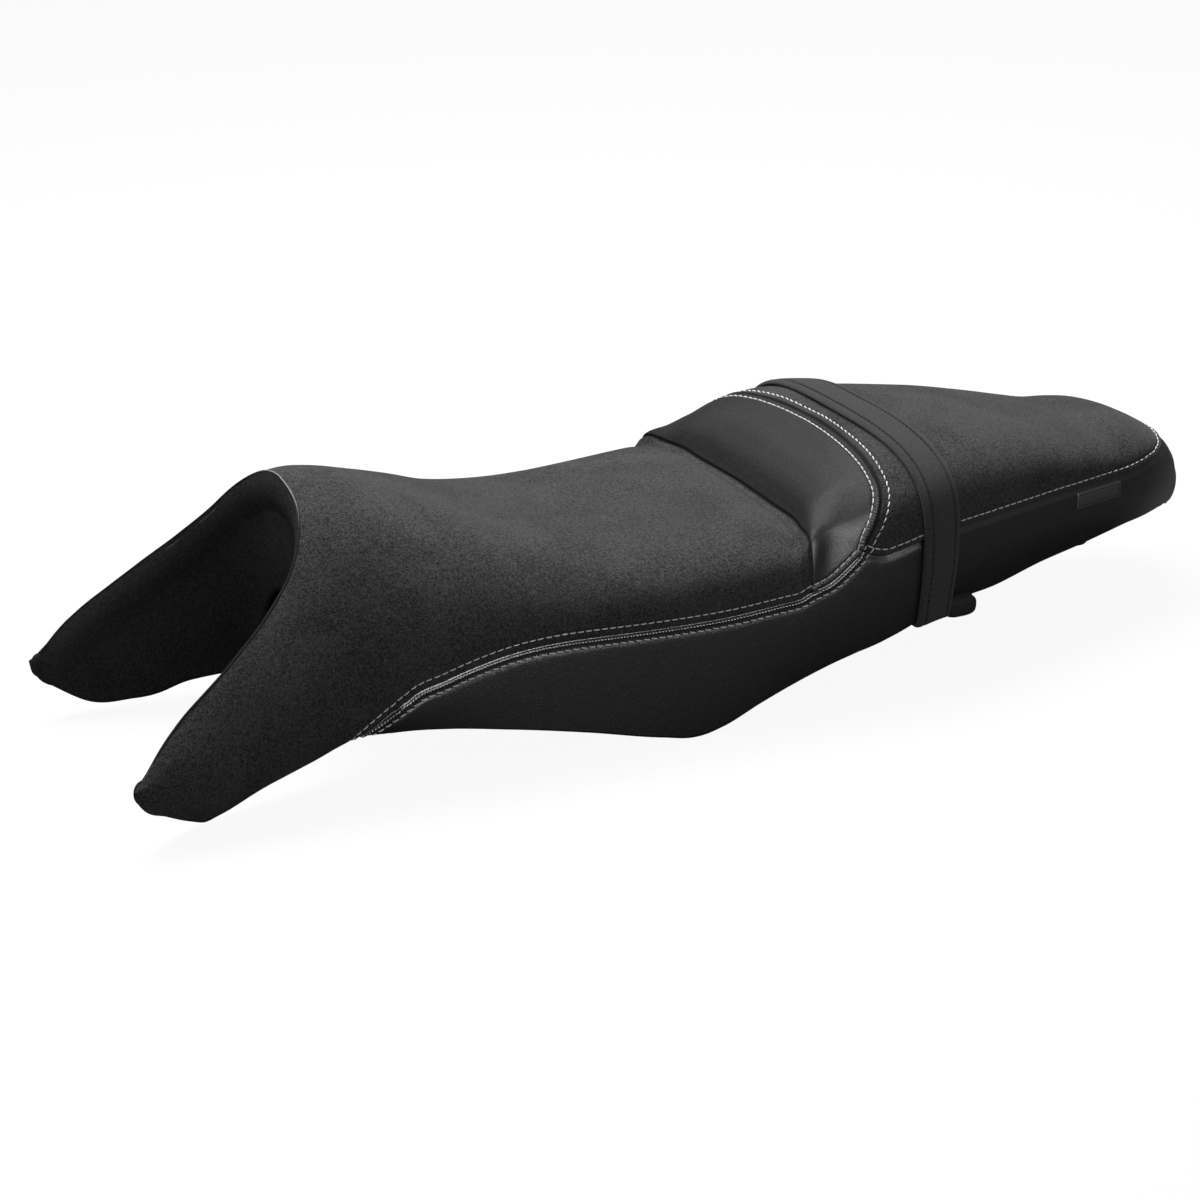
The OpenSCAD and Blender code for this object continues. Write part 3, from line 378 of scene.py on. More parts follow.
def rider_grid(m, n):
    """The front edge is the rim and then the tip; the side is the seam and then the hem."""
    rim_part = 9 / 13
    seam_part = 25 / 34
    v = crowded_out(n)
    u = crowded(m, 0.6)
    edge = []
    for share in v:
        if share <= rim_part:
            edge.append(rim_xq(share / rim_part))
        else:
            low = rim_xq(1.0)[1]
            edge.append((TIP_X, low + (END_Q - low) * (share - rim_part) / (1 - rim_part)))
    seam, hem = Trail(FRONT_SEAM), Trail([SEAM_FRONT] + [
        (ARCH_X + f * HORN_LEN, END_Q) for f in np.arange(0.1, 1.01, 0.1)])
    side = [seam.at(s / seam_part) if s <= seam_part
            else hem.at((s - seam_part) / (1 - seam_part)) for s in u]
    middle = np.stack([STEP_X + (ARCH_X - STEP_X) * u, 0 * u], -1)
    g = fill(to_share(Trail(STEP_SEAM).at(v)), to_share(np.array(edge)), middle,
             to_share(np.array(side)), u, v)
    return both_halves(from_share(relaxed(g, u, v)))


def step_grid(m, n):
    v, u = crowded_out(n), crowded(m)
    part = 10 / 14
    crown, back = Trail(CROWN_SEAM), Trail(REAR_SEAM)
    rear = [crown.at(s / part) if s <= part else back.at(1 - (s - part) / (1 - part))
            for s in v]
    middle = np.stack([CROWN_START[0] + (STEP_X - CROWN_START[0]) * u, 0 * u], -1)
    side = np.array(DOUBLE_REAR) + u[:, None] * (np.array(STEP_END) - np.array(DOUBLE_REAR))
    return both_halves(fill(np.array(rear), Trail(STEP_SEAM).at(v), middle, side, u, v))


def passenger_grid(m, n):
    v, u = crowded_out(n), crowded(m)
    middle = np.stack([SEAM_TAIL[0] + (CROWN_START[0] - SEAM_TAIL[0]) * u, 0 * u], -1)
    return both_halves(fill(Trail(TAIL_SEAM).at(1 - v), Trail(CROWN_SEAM).at(v), middle,
                            Trail(PAD_SEAM).at(1 - u), u, v))


# A cover's inner face has one line for every four of its outer face
COARSE = 4


def side_grid(n):
    """Upright rows from the seams down to the hem, from the tail's middle to the nose."""
    tail = np.stack([TAIL_X + (SEAM_TAIL[0] - TAIL_X) * np.array([0, 0.1, 0.3, 0.55, 0.8, 1]),
                     np.zeros(6)], -1)
    front = Trail(FRONT_SEAM).at(even(300))
    head = joined(tail, Trail(TAIL_SEAM).at(1 - even(60)), Trail(PAD_SEAM).at(1 - even(180)),
                  Trail(REAR_SEAM).at(1 - even(24)), np.array([STEP_END]),
                  front[front[:, 1] <= 1])
    head = head[: (len(head) - 1) // COARSE * COARSE + 1]
    v = crowded(n, 0.7)[None, :]
    x = np.repeat(head[:, :1], n + 1, axis=1)
    return np.stack([x, head[:, 1:2] + (END_Q - head[:, 1:2]) * v], -1)


# ---------------------------------------------------------------- relief round the seams
def both_lines(knots, n):
    """Points along a seam on both sides of the seat."""
    x, q = Trail(knots).at(even(n)).T
    return [seat(x, q), seat(x, -q)]


double_lines = (both_lines(FRONT_SEAM, 500) + both_lines(REAR_SEAM, 60)
                + both_lines(CROWN_SEAM, 160))
step_lines = both_lines(STEP_SEAM, 150)
pad_lines = both_lines(PAD_SEAM, 300) + both_lines(TAIL_SEAM, 120)
rim_line = seat(*rim_xq(np.linspace(-1, 1, 500)).T)


def near(points, lines, reach=30.0):
    """Distance from each point to the nearest of the lines, and how far along it that is."""
    flat = points.reshape(-1, 3)
    best = np.full(len(flat), reach + 12)
    run = np.zeros(len(flat))
    for line in lines:
        a, d = line[:-1], np.diff(line, axis=0)
        length = np.linalg.norm(d, axis=1)
        start = run_along(line)
        for at in range(0, len(flat), 4000):
            part = flat[at:at + 4000]
            rough = np.linalg.norm(part[:, None] - line[None, ::12], axis=2).min(1)
            close = np.nonzero(rough < reach + 12)[0]
            if not len(close):
                continue
            v = part[close][:, None] - a[None]
            t = np.clip((v * d).sum(2) / np.maximum(length ** 2, 1e-9), 0, 1)
            gap = np.linalg.norm(v - t[..., None] * d, axis=2)
            i = gap.argmin(1)
            k = np.arange(len(close))
            found, far = gap[k, i], (start[i] + t[k, i] * length[i])
            better = found < best[at + close]
            best[at + close[better]] = found[better]
            run[at + close[better]] = far[better]
    return best.reshape(points.shape[:-1]), run.reshape(points.shape[:-1])


def bell(d, middle, width):
    return np.exp(-((d - middle) / width) ** 2)


ROW = 5.6


def rise(d, high, reach):
    """Falls short of the surface by high on the seam and meets it further in."""
    return -high * np.exp(-d / reach)


def double_relief(d, outer):
    """A narrow groove on the seam, a pinched row of stitches, and outside a folded edge."""
    fold = 0.25 * bell(d, 2.4, 1.4)
    if outer:
        fold = 0.55 * bell(d, 1.7, 0.7) - 0.25 * bell(d, 3.4, 1.0)
    return -1.7 * bell(d, 0, 0.9) + fold - 0.5 * bell(d, ROW, 1.1) + rise(d, 0.7, 9)


def waves(p, size, seed):
    """Sum of a few soft waves, about one high, with crests about size apart."""
    rng = np.random.default_rng(seed)
    total = 0
    for _ in range(6):
        way = unit(rng.normal(size=3))
        total = total + np.sin(p @ way * 2 * np.pi / size * rng.uniform(0.6, 1.5)
                               + rng.uniform(0, 6.3))
    return total / 3


# ---------------------------------------------------------------- meshes
def new_object(name, points, faces):
    mesh = bpy.data.meshes.new(name)
    mesh.from_pydata((np.asarray(points) * MM).tolist(), [], faces)
    mesh.validate()
    mesh.shade_smooth()
    obj = bpy.data.objects.new(name, mesh)
    bpy.context.collection.objects.link(obj)
    return obj


def grid_faces(m, n, first=0, flip=False):
    k = first + np.arange(m * n).reshape(m, n)
    f = np.stack([k[:-1, :-1], k[:-1, 1:], k[1:, 1:], k[1:, :-1]], -1).reshape(-1, 4)
    return f[:, ::-1] if flip else f


def loop_round(k):
    """The border of an index grid, once round."""
    return np.concatenate([k[:-1, 0], k[-1, :-1], k[:0:-1, -1], k[0, :0:-1]])


def grid_normals(p):
    return unit(np.cross(np.gradient(p, axis=0), np.gradient(p, axis=1)))


def shell(name, p, depth):
    """A closed cover: a fine outer grid, a coarse inner one depth under it, and their rims."""
    inner = (p - depth * grid_normals(p))[::COARSE, ::COARSE]
    first, shape = p[..., 0].size, inner.shape[:2]
    faces = grid_faces(*p.shape[:2], 0, True).tolist() + grid_faces(*shape, first).tolist()
    fine = loop_round(np.arange(first).reshape(p.shape[:2])).tolist()
    rough = loop_round(first + np.arange(shape[0] * shape[1]).reshape(shape)).tolist()
    for i in range(len(rough)):
        part = [fine[(i * COARSE + j) % len(fine)] for j in range(COARSE + 1)]
        faces.append(part + [rough[(i + 1) % len(rough)], rough[i]])
    return new_object(name, np.concatenate([p.reshape(-1, 3), inner.reshape(-1, 3)]), faces)


def put_mark(obj, name, values):
    """Stores a number for each vertex; inner vertices, which have none, get 99."""
    data = np.full(len(obj.data.vertices), 99.0)
    data[:values.size] = values.ravel()
    mark = obj.data.attributes.new(name, "FLOAT", "POINT")
    mark.data.foreach_set("value", data)


def finish_piece(obj, material, replaces=()):
    obj.data.materials.clear()
    obj.data.materials.append(material)
    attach(obj, "root")
    if replaces:
        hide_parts(*replaces)
    return obj


# ---------------------------------------------------------------- covers
def make_cover(name, g, height_of, outer, depth=2.5, mirror=False):
    """A panel's shell, with each point's distance to its nearest seam.

    Next to a double seam it also has the place along it, which the puckers follow.
    """
    p = seat(g[..., 0], g[..., 1])
    double, run = near(p, double_lines)
    step, pad = near(p, step_lines)[0], near(p, pad_lines)[0]
    gaps = np.stack([double, step, pad])
    height = double_relief(double, outer) + height_of(p, double, step, pad)
    points = p + height[..., None] * seat_normal(g[..., 0], g[..., 1])
    seam, run = gaps.min(0), np.where(gaps.argmin(0) == 0, run, 0)
    if mirror:
        points = points[:, ::-1] * np.array([1, -1, 1])
        seam, run = seam[:, ::-1], run[:, ::-1]
    obj = shell(name, points, depth)
    put_mark(obj, "seam", seam)
    put_mark(obj, "run", run)
    return obj


def dish(p, double):
    """How deep the step panel is dished: 1.2 mm on top and 6.5 mm on the flanks."""
    flank = np.clip((np.abs(p[..., 1]) - 85) / 34, 0, 1)
    deep = 1.2 + 5.3 * flank * flank * (3 - 2 * flank)
    return deep * (1 - np.exp(-(double / 16) ** 2))


def rider_height(p, double, step, pad):
    rim, _ = near(p, [rim_line])
    rim = rim + np.clip((p[..., 0] - TIP_X + 14) / 2, 0, 20)
    return (0.35 * waves(p, 70, 3) * np.clip(double / 20, 0, 1) - 1.2 * bell(step, 0, 1.0)
            + rise(step, 0.4, 5) - 0.8 * bell(rim, 0, 1.0)
            + rise(rim, 0.8, 4))


def step_height(p, double, step, pad):
    return (-1.2 * bell(step, 0, 1.0) + rise(step, 0.4, 5)
            - dish(p, double) * (1 - np.exp(-(step / 12) ** 2)))


def passenger_height(p, double, step, pad):
    """The pad's edge is a lip below its stitches that stands out from the side panel."""
    return (-2.2 * bell(pad, 0, 0.9) + 0.7 * bell(pad, 2.6, 1.6) - 0.5 * bell(pad, ROW, 1.1)
            + rise(pad, 0.6, 9) + 0.35 * waves(p, 70, 5) * np.clip(pad / 20, 0, 1))


def side_height(p, double, step, pad):
    return -2.4 * bell(pad, 0, 3.0) - 0.8 * (1 - np.clip(pad / 25, 0, 1))


rider = make_cover("rider_pad", rider_grid(288, 88), rider_height, False)
step = make_cover("step_pad", step_grid(64, 120), step_height, False)
passenger = make_cover("passenger_pad", passenger_grid(216, 80), passenger_height, True)
side_left = make_cover("side_cover_left", side_grid(44), side_height, True, 2.0)
side_right = make_cover("side_cover_right", side_grid(44), side_height, True, 2.0, True)


# ---------------------------------------------------------------- arch lining and rim
def rim_sink(t, at_middle, at_tips):
    """How far below the surface the rim's pieces lie: a little more towards both tips."""
    return at_middle + (at_tips - at_middle) * np.clip((np.abs(t) - 0.86) / 0.12, 0, 1)[:, None]


def read_arch(x, y, z, t):
    """Points read from three curves at signed shares t, negative on the right."""
    a = np.abs(t)
    return np.stack([x(a), np.sign(t) * y(a), z(a)], -1)


def make_lining():
    """Rows from the rim to the foot that swell like a pad, then the part turned in below.

    The swelling is 3.2 sin(pi d / 26)^0.8 over the first 26 mm and 1.2 sin(pi s) over all.
    """
    t = np.linspace(-1, 1, 241)
    xq = rim_xq(t)
    top = seat(*xq.T) - rim_sink(t, 0.6, 1.4) * seat_normal(*xq.T)
    foot, under = read_arch(foot_x, foot_y, foot_z, t), read_arch(under_x, under_y, under_z, t)
    s = ((1 - np.cos(np.pi * even(48) ** 0.8)) / 2)[None, :, None]
    wall = top[:, None] + s * (foot - top)[:, None]
    d = s * np.linalg.norm(foot - top, axis=1)[:, None, None]
    swell = (3.2 * np.sin(np.pi * np.clip(d / 26, 0, 1)) ** 0.8 + 1.2 * np.sin(np.pi * s))
    swell = swell * np.clip((1 - np.abs(t)) / 0.12, 0, 1)[:, None, None]
    wall = wall - swell * grid_normals(wall)
    turned = foot[:, None] + even(12)[None, 1:, None] * (under - foot)[:, None]
    return shell("arch_lining_cover", np.concatenate([wall, turned], 1)[:, ::-1], 2.0)


def ring_faces(rows, sides, first=0):
    """Quads between rings of points, with a face at each end, all facing outwards."""
    i = first + sides * np.arange(rows - 1)[:, None]
    j = np.arange(sides)[None, :]
    k = (j + 1) % sides
    quads = np.stack([i + j, i + k, i + sides + k, i + sides + j], -1).reshape(-1, 4)
    last = first + (rows - 1) * sides
    ends = [list(range(first, first + sides))[::-1], list(range(last, last + sides))]
    return quads.tolist() + ends


def tube(name, path, radius, sides):
    """A round tube carried along a path, with closed ends."""
    along = unit(np.gradient(path, axis=0))
    aside = unit(np.cross(along, [0.3, 0.2, 1.0]))
    above = np.cross(aside, along)
    a = np.linspace(0, 2 * np.pi, sides, endpoint=False)[None, :, None]
    points = path[:, None] + radius * (np.cos(a) * above[:, None] + np.sin(a) * aside[:, None])
    return new_object(name, points.reshape(-1, 3), ring_faces(len(path), sides))


PIPING_R = 0.55
PIPING_SIDES = 10
lining = make_lining()
rim_share = np.linspace(-0.985, 0.985, 400)
rim_places = rim_xq(rim_share).T
rim_path = seat(*rim_places) - rim_sink(rim_share, 0.35, 1.75) * seat_normal(*rim_places)
rim_cord = tube("rim_piping", rim_path, PIPING_R, PIPING_SIDES)
put_mark(rim_cord, "shown",
         np.repeat(np.clip((0.22 - np.abs(rim_share)) / 0.12, 0, 1), PIPING_SIDES))


def rounded_lump(name, middle, radii, power=2.0):
    """A closed lump |x/a|^n + |y/b|^n + |z/c|^n = 1, read by latitude and longitude."""
    lat = np.linspace(-np.pi / 2, np.pi / 2, 25)[:, None]
    lon = np.linspace(0, 2 * np.pi, 36, endpoint=False)[None, :]
    way = np.stack([np.cos(lat) * np.cos(lon), np.cos(lat) * np.sin(lon),
                    np.sin(lat) + 0 * lon], -1)[1:-1]
    size = (np.abs(way) ** power).sum(-1, keepdims=True) ** (-1 / power)
    points = np.array(middle) + way * size * np.array(radii)
    return new_object(name, points.reshape(-1, 3), ring_faces(23, 36))


SIDES = (("left", 1), ("right", -1))
horn_ends = [rounded_lump(f"horn_end_{name}", (417.6, side * 107.2, 38.2), (6.6, 3.1, 8.8))
             for name, side in SIDES]
edge_blocks = [rounded_lump(f"edge_pad_{name}", (-178.5, side * 104, 46.5), (13, 7, 7.5), 3.2)
               for name, side in SIDES]

# ---------------------------------------------------------------- grab strap
STRAP_FRONT = CROWN_X - 15
STRAP_W = 34
STRAP_T = 3.2
STRAP_GAP = 0.6
STRAP_FOOT_Y = 72
STRAP_FOOT_Z = 47
STRAP_ROW = 6.2
STRAP_DROOP = 6


def strap_x(out):
    """x of a line along the strap, from its rear edge at -1 to its front edge at 1."""
    return STRAP_FRONT - STRAP_W / 2 + out * STRAP_W / 2


def strap_edge(out):
    """Distance from the nearer edge, and the height of a half round edge there."""
    from_edge = (1 - np.abs(out)) * STRAP_W / 2
    near_edge = 1 - np.minimum(from_edge / (STRAP_T / 2), 1)
    return from_edge, STRAP_T / 2 * np.sqrt(np.clip(1 - near_edge ** 2, 0, 1))


def strap_path(x):
    """Rows of points across the pad at each x, then round the edge and inwards, with normals.

    Towards the edge the rows droop by up to 6 mm at the strap's rear.  Round the edge the
    point stays and the normal turns by 90 degrees; the foot runs to the bolt's level.
    """
    q = np.linspace(-1, 1, 181)
    base = seat(x[None, :], q[:, None])
    near_edge = np.clip((np.abs(q) - 0.86) / 0.14, 0, 1)[:, None] ** 2
    base[..., 2] -= STRAP_DROOP * near_edge * ((STRAP_FRONT - x) / STRAP_W)[None, :]
    normal = seat_normal(x[None, :], np.clip(q, -0.985, 0.985)[:, None])
    down = np.array([0, 0, -1.0])
    turns = np.radians([22, 45, 68, 90])[:, None, None]
    shares = np.linspace(0.05, 1, 9)[:, None, None]
    for side, end in ((-1, 0), (1, -1)):
        edge, first = base[end], normal[end]
        foot = np.stack([x, 0 * x + side * STRAP_FOOT_Y, 0 * x + STRAP_FOOT_Z], -1)
        rows = np.concatenate([0 * turns + edge, edge + shares * (foot - edge)])
        ways = np.concatenate([unit(np.cos(turns) * first + np.sin(turns) * down),
                               0 * shares + np.tile(down, (len(x), 1))])
        if side < 0:
            base = np.concatenate([rows[::-1], base])
            normal = np.concatenate([ways[::-1], normal])
        else:
            base, normal = np.concatenate([base, rows]), np.concatenate([normal, ways])
    return base, normal


def strap_height(out):
    """Height of the strap's top over its gap: half-round folded edges, dips at the stitches."""
    from_edge, fold = strap_edge(out)
    dip = 0.55 * bell(from_edge, STRAP_ROW, 0.8)
    swell = 0.7 * np.clip((from_edge - 1) / 6, 0, 1) ** 0.5
    return STRAP_T / 2 + fold - dip + swell - 0.21 * bell(from_edge, 1.4, 1.0)


def make_strap():
    """A flat tube of cloth: its section is carried over the pad on strap_path's rows."""
    out = np.sin(np.pi / 2 * np.linspace(-1, 1, 45))
    base, normal = strap_path(strap_x(out))
    rows = len(base)
    lift = strap_height(out)[None] + 0.25 * waves(base, 46, 8) * (1 - out ** 4)[None]
    from_edge, fold = strap_edge(out)
    low = STRAP_T / 2 - fold
    top = base + (STRAP_GAP + lift)[..., None] * normal
    under = base + (STRAP_GAP + low)[None, :, None] * normal
    loop = np.concatenate([top[:, ::-1], under[:, 1:-1]], 1)
    obj = new_object("grab_strap", loop.reshape(-1, 3), ring_faces(rows, loop.shape[1]))
    across = np.concatenate([from_edge[::-1], from_edge[1:-1]]) + ROW - STRAP_ROW
    put_mark(obj, "seam", np.tile(across, (rows, 1)))
    return obj


strap = make_strap()


# ---------------------------------------------------------------- image points
# Places in the photograph's frame, 1200 wide and 1200 high
POINTS = {
    "left_side": (24.6, None), "right_side": (1175.5, None), "top_side": (None, 379),
    "bottom_side": (None, 821), "near_horn_low": (200, 821), "far_horn_tip": (27, 659),
    "rim_crown": (275, 479), "rim_knee": (299.5, 528), "upper_row": (610, 629),
    "step_end": (811, 594), "seam_corner": (863, 536), "crown_row": (743.9, 394.5),
    "passenger_row": (1050, 491.5), "row_curl": (861, 557), "strap_low": (928, 612),
    "tag": (1099, 495), "rubber_block": (957, 607), "tail_tip": (1175.5, 481),
}


def cover_tree(*objs):
    """One BVHTree, in metres, of the finished meshes."""
    points, faces = [], []
    for obj in objs:
        first = len(points)
        points += [tuple(v.co) for v in obj.data.vertices]
        faces += [[first + k for k in p.vertices] for p in obj.data.polygons]
    return BVHTree.FromPolygons(points, faces)


def seen_at(point, tree):
    """Where the camera's ray through an image point meets the tree, or comes nearest to it."""
    right, up, back = camera_axes()
    way = (point[0] - IMAGE / 2) * right + (IMAGE / 2 - point[1]) * up - FOCAL * back
    eye, way = Vector(CAM_PLACE), Vector(unit(way))
    place = tree.ray_cast(eye, way)[0]
    if place is None:
        steps = [eye + way * d for d in np.linspace(1.0, 3.0, 400)]
        place = min((tree.find_nearest(p) for p in steps), key=lambda found: found[3])[0]
    return np.array(place) / MM


def pixel(p):
    """Image places of points in mm."""
    right, up, back = camera_axes()
    d = np.asarray(p) * MM - np.array(CAM_PLACE)
    scale = FOCAL / -(d @ back)
    return np.stack([IMAGE / 2 + scale * (d @ right), IMAGE / 2 - scale * (d @ up)], -1)


cover = cover_tree(rider, step, passenger, side_left, side_right)


# ---------------------------------------------------------------- stitches
RAY_START = 9
THREAD_TWIST = 1.1


def over_middle(xq):
    """A line of [x, q] that ends on the middle line, carried on down the right side."""
    return joined(xq, xq[::-1] * np.array([1, -1]))


def softened(p, passes=10):
    for _ in range(passes):
        p[1:-1] = (p[:-2] + 2 * p[1:-1] + p[2:]) / 4
    return p


def read_along(at, run, values):
    """Rows of three numbers, read at lengths along their line."""
    return np.stack([np.interp(at, run, values[:, i]) for i in range(3)], -1)


def meet(tree, place, way, reach):
    """What a ray meets that comes back along way from RAY_START beyond the place."""
    return tree.ray_cast(Vector((place + RAY_START * way) * MM), Vector(-way), reach)


def row_beside(xq, offset):
    """A row on the finished covers, offset from a seam, and its normals.

    Each point goes offset along normal x run, and then to where a ray along the normal
    meets the covers.
    """
    p, normal = seat(*xq.T), seat_normal(*xq.T)
    p = softened(p + offset * unit(np.cross(normal, np.gradient(p, axis=0))))
    run = run_along(p)
    at = np.arange(0, run[-1], 0.8)
    p, normal = read_along(at, run, p), unit(read_along(at, run, normal))
    high = np.zeros(len(p))
    for i, (place, way) in enumerate(zip(p, normal)):
        hit = meet(cover, place, way, 0.02)
        high[i] = RAY_START - hit[3] / MM if hit[0] is not None else high[i - 1]
    return p + softened(high, 4)[:, None] * normal, normal


def capsules(name, middles, runs, normals, length, thick, lift=0.45):
    """Stitches: five rings of six points, arched so that the ends go into the cover."""
    s = np.array([-1, -0.62, 0, 0.62, 1])
    rise_by = np.array([-0.55, 0.6, 1, 0.6, -0.55]) * lift
    size = np.array([0.55, 0.95, 1, 0.95, 0.55]) * thick / 2
    aside = np.cross(normals, runs)
    a = np.linspace(0, 2 * np.pi, 6, endpoint=False)
    path = (middles[:, None] + (s * length / 2)[None, :, None] * runs[:, None]
            + rise_by[None, :, None] * normals[:, None])
    points = (path[:, :, None] + size[None, :, None, None]
              * (np.cos(a)[None, None, :, None] * aside[:, None, None]
                 + np.sin(a)[None, None, :, None] * normals[:, None, None]))
    faces = []
    for i in range(len(middles)):
        faces += ring_faces(5, 6, 30 * i)
    obj = new_object(name, points.reshape(-1, 3), faces)
    twist = s[None, :, None] * length / 2 + a[None, None, :] / (2 * np.pi) * THREAD_TWIST
    put_mark(obj, "twist", np.tile(twist, (len(middles), 1, 1)))
    return obj


def stitch_row(name, row, normal, pitch, thick=0.95, slant=0.0, share=0.82):
    """Stitches at an even pitch, each turned by the slant in the cover's plane."""
    length = run_along(row)
    count = int(length[-1] / pitch)
    rng = np.random.default_rng(len(row))
    at = (np.arange(count) + 0.5) * length[-1] / count + rng.normal(0, 0.12, count)
    middle, way = read_along(at, length, row), read_along(at, length, normal)
    run = unit(read_along(at + 1.5, length, row) - read_along(at - 1.5, length, row))
    way = unit(way - (way * run).sum(1, keepdims=True) * run)
    turn = np.radians(slant + rng.normal(0, 1.5, count))[:, None]
    run = np.cos(turn) * run + np.sin(turn) * np.cross(way, run)
    return capsules(name, middle, run, way, pitch * share, thick)


def seam_places():
    """[x, q] along the double seam, from the left hem over the crown to the right hem."""
    front = Trail(FRONT_SEAM).at(1 - even(500))
    left = joined(front[front[:, 1] <= 1.01], Trail(REAR_SEAM).at(even(60)),
                  Trail(CROWN_SEAM).at(1 - even(200)))
    return over_middle(left)


double_places = seam_places()
pad_places = over_middle(joined(Trail(PAD_SEAM).at(even(360)), Trail(TAIL_SEAM).at(even(120))))
upper_row = row_beside(double_places, ROW)
lower_row = row_beside(double_places, -ROW)
pad_row = row_beside(pad_places, ROW - 0.6)
upper_stitches = stitch_row("upper_stitches", *upper_row, 5.6, slant=1)
lower_stitches = stitch_row("lower_stitches", *lower_row, 5.6, slant=-9)
pad_stitches = stitch_row("passenger_stitches", *pad_row, 6.2, slant=2)


def make_curl():
    """Three stitches that close the passenger row, from its start towards the curl's point."""
    place = seen_at(POINTS["row_curl"], cover)
    start, normal = pad_row[0][0], pad_row[1][0]
    share = even(24)[:, None]
    return stitch_row("curl_stitches", place + share * (start - place),
                      np.tile(normal, (25, 1)), 4.2)


curl_stitches = make_curl()


def strap_rows():
    """The two rows along the strap's edges, on its finished top."""
    out = np.array([1 - 2 * STRAP_ROW / STRAP_W, 2 * STRAP_ROW / STRAP_W - 1])
    base, normal = strap_path(strap_x(out))
    top = base + (STRAP_GAP + strap_height(out))[None, :, None] * normal
    return [(softened(top[6:-6, i]), softened(normal[6:-6, i])) for i in range(2)]


strap_stitches = [stitch_row(f"strap_stitches_{name}", *row, 4.6, thick=1.0, share=0.72)
                  for name, row in zip(("front", "rear"), strap_rows())]


# ---------------------------------------------------------------- blank tag
TAG_LONG, TAG_HIGH = 22.5, 6.2
TAG_INSET = 2


def make_tag():
    """A bare sewn patch on the side panel: an oblong that follows the cover.

    Its long side follows the passenger seam above it, and its face is
    0.9 - 0.35 on a line pressed 2 mm inside its edge.
    """
    middle = seen_at(POINTS["tag"], cover)
    line = seat(*pad_places[:360].T)
    k = np.linalg.norm(line - middle, axis=1).argmin()
    along = unit(line[k - 12] - line[k + 12])
    _, normal, _, _ = cover.find_nearest(Vector(middle * MM))
    normal = unit(np.array(normal))
    along = unit(along - (along @ normal) * normal)
    aside = np.cross(normal, along)
    u, v = np.meshgrid(np.linspace(-1, 1, 65), np.linspace(-1, 1, 21), indexing="ij")
    p = middle + TAG_LONG * u[..., None] * along + TAG_HIGH * v[..., None] * aside
    high = np.zeros(u.shape)
    for i in np.ndindex(*u.shape):
        hit = meet(cover, p[i], normal, 0.03)
        high[i] = RAY_START - hit[3] / MM if hit[0] is not None else 0
    edge = np.minimum((1 - np.abs(u)) * TAG_LONG, (1 - np.abs(v)) * TAG_HIGH)
    face = 0.9 * np.clip(edge / 0.7, 0, 1) ** 0.5 - 0.35 * bell(edge, TAG_INSET, 0.5)
    p = p + (high + face)[..., None] * normal
    obj = shell("blank_tag", p, 0.5)
    corners = np.array([(-1, -1), (1, -1), (1, 1), (-1, 1), (-1, -1)])
    corners = corners * (TAG_LONG - TAG_INSET, TAG_HIGH - TAG_INSET)
    border = middle + corners @ np.stack([along, aside])
    share = even(160) * 4
    i = np.minimum(share.astype(int), 3)
    run = border[i] + (share - i)[:, None] * (border[i + 1] - border[i])
    tree = cover_tree(obj)
    hits = [meet(tree, place, normal, 0.03)[0] for place in run]
    lifted = [place if hit is None else np.array(hit) / MM for place, hit in zip(run, hits)]
    return obj, stitch_row("tag_stitches", np.array(lifted), np.tile(normal, (161, 1)), 2.6,
                           thick=0.5, share=0.7)


tag, tag_stitches = make_tag()


# ---------------------------------------------------------------- materials
class Shading:
    """One tree of shader nodes.  Its methods add a node and give that node's output."""

    def __init__(self, tree):
        self.tree = tree

    def put(self, node, values):
        """Sets a node's inputs, each by a link from an output or to a value."""
        for key, value in values.items():
            if isinstance(value, bpy.types.NodeSocket):
                self.tree.links.new(value, node.inputs[key])
            else:
                node.inputs[key].default_value = value

    def add(self, kind, values=None, **settings):
        """The outputs of a new node with its settings and inputs set."""
        made = self.tree.nodes.new("ShaderNode" + kind)
        for key, value in settings.items():
            setattr(made, key, value)
        self.put(made, values or {})
        return made.outputs

    def math(self, operation, a, b=0.5, clamp=False):
        return self.add("Math", {0: a, 1: b}, operation=operation, use_clamp=clamp)[0]

    def times(self, a, b):
        return self.math("MULTIPLY", a, b)

    def plus(self, a, b, clamp=False):
        return self.math("ADD", a, b, clamp)

    def about(self, value, middle, scale):
        return self.times(self.math("SUBTRACT", value, middle), scale)

    def apart(self, a, b):
        return self.math("ABSOLUTE", self.math("SUBTRACT", a, b))

    def place(self):
        return self.add("TexCoord")["Object"]

    def mark(self, name):
        return self.add("Attribute", attribute_name=name)["Fac"]

    def noise(self, place, scale, **more):
        return self.add("TexNoise", {"Vector": place, "Scale": scale, **more})["Fac"]

    def between(self, share, low, high):
        return self.add("MapRange", {"Value": share, "To Min": low, "To Max": high})[0]

    def ramp(self, value, low, high, first=0.0, last=1.0):
        """Goes smoothly from first to last while the value goes from low to high."""
        return self.add("MapRange", {"Value": value, "From Min": low, "From Max": high,
                                     "To Min": first, "To Max": last},
                        interpolation_type="SMOOTHSTEP")[0]

    def mixed(self, share, a, b, **settings):
        return self.add("Mix", {0: share, 6: a, 7: b}, data_type="RGBA", **settings)[2]

    def tones(self, share, dark, light):
        return self.mixed(share, (*dark, 1), (*light, 1))

    def darkened(self, colour, mask, keep):
        """The colour times keep where the mask is 1."""
        return self.mixed(1.0, colour, self.between(mask, 1.0, keep), blend_type="MULTIPLY")

    def bumped(self, shader, height, distance, **under):
        """Raises the shader's surface by the height, over a bump below it if one is given."""
        bump = self.add("Bump", {"Height": height, "Distance": distance * MM,
                                 "Strength": 1.0, **under})[0]
        self.put(shader, {"Normal": bump})
        return bump


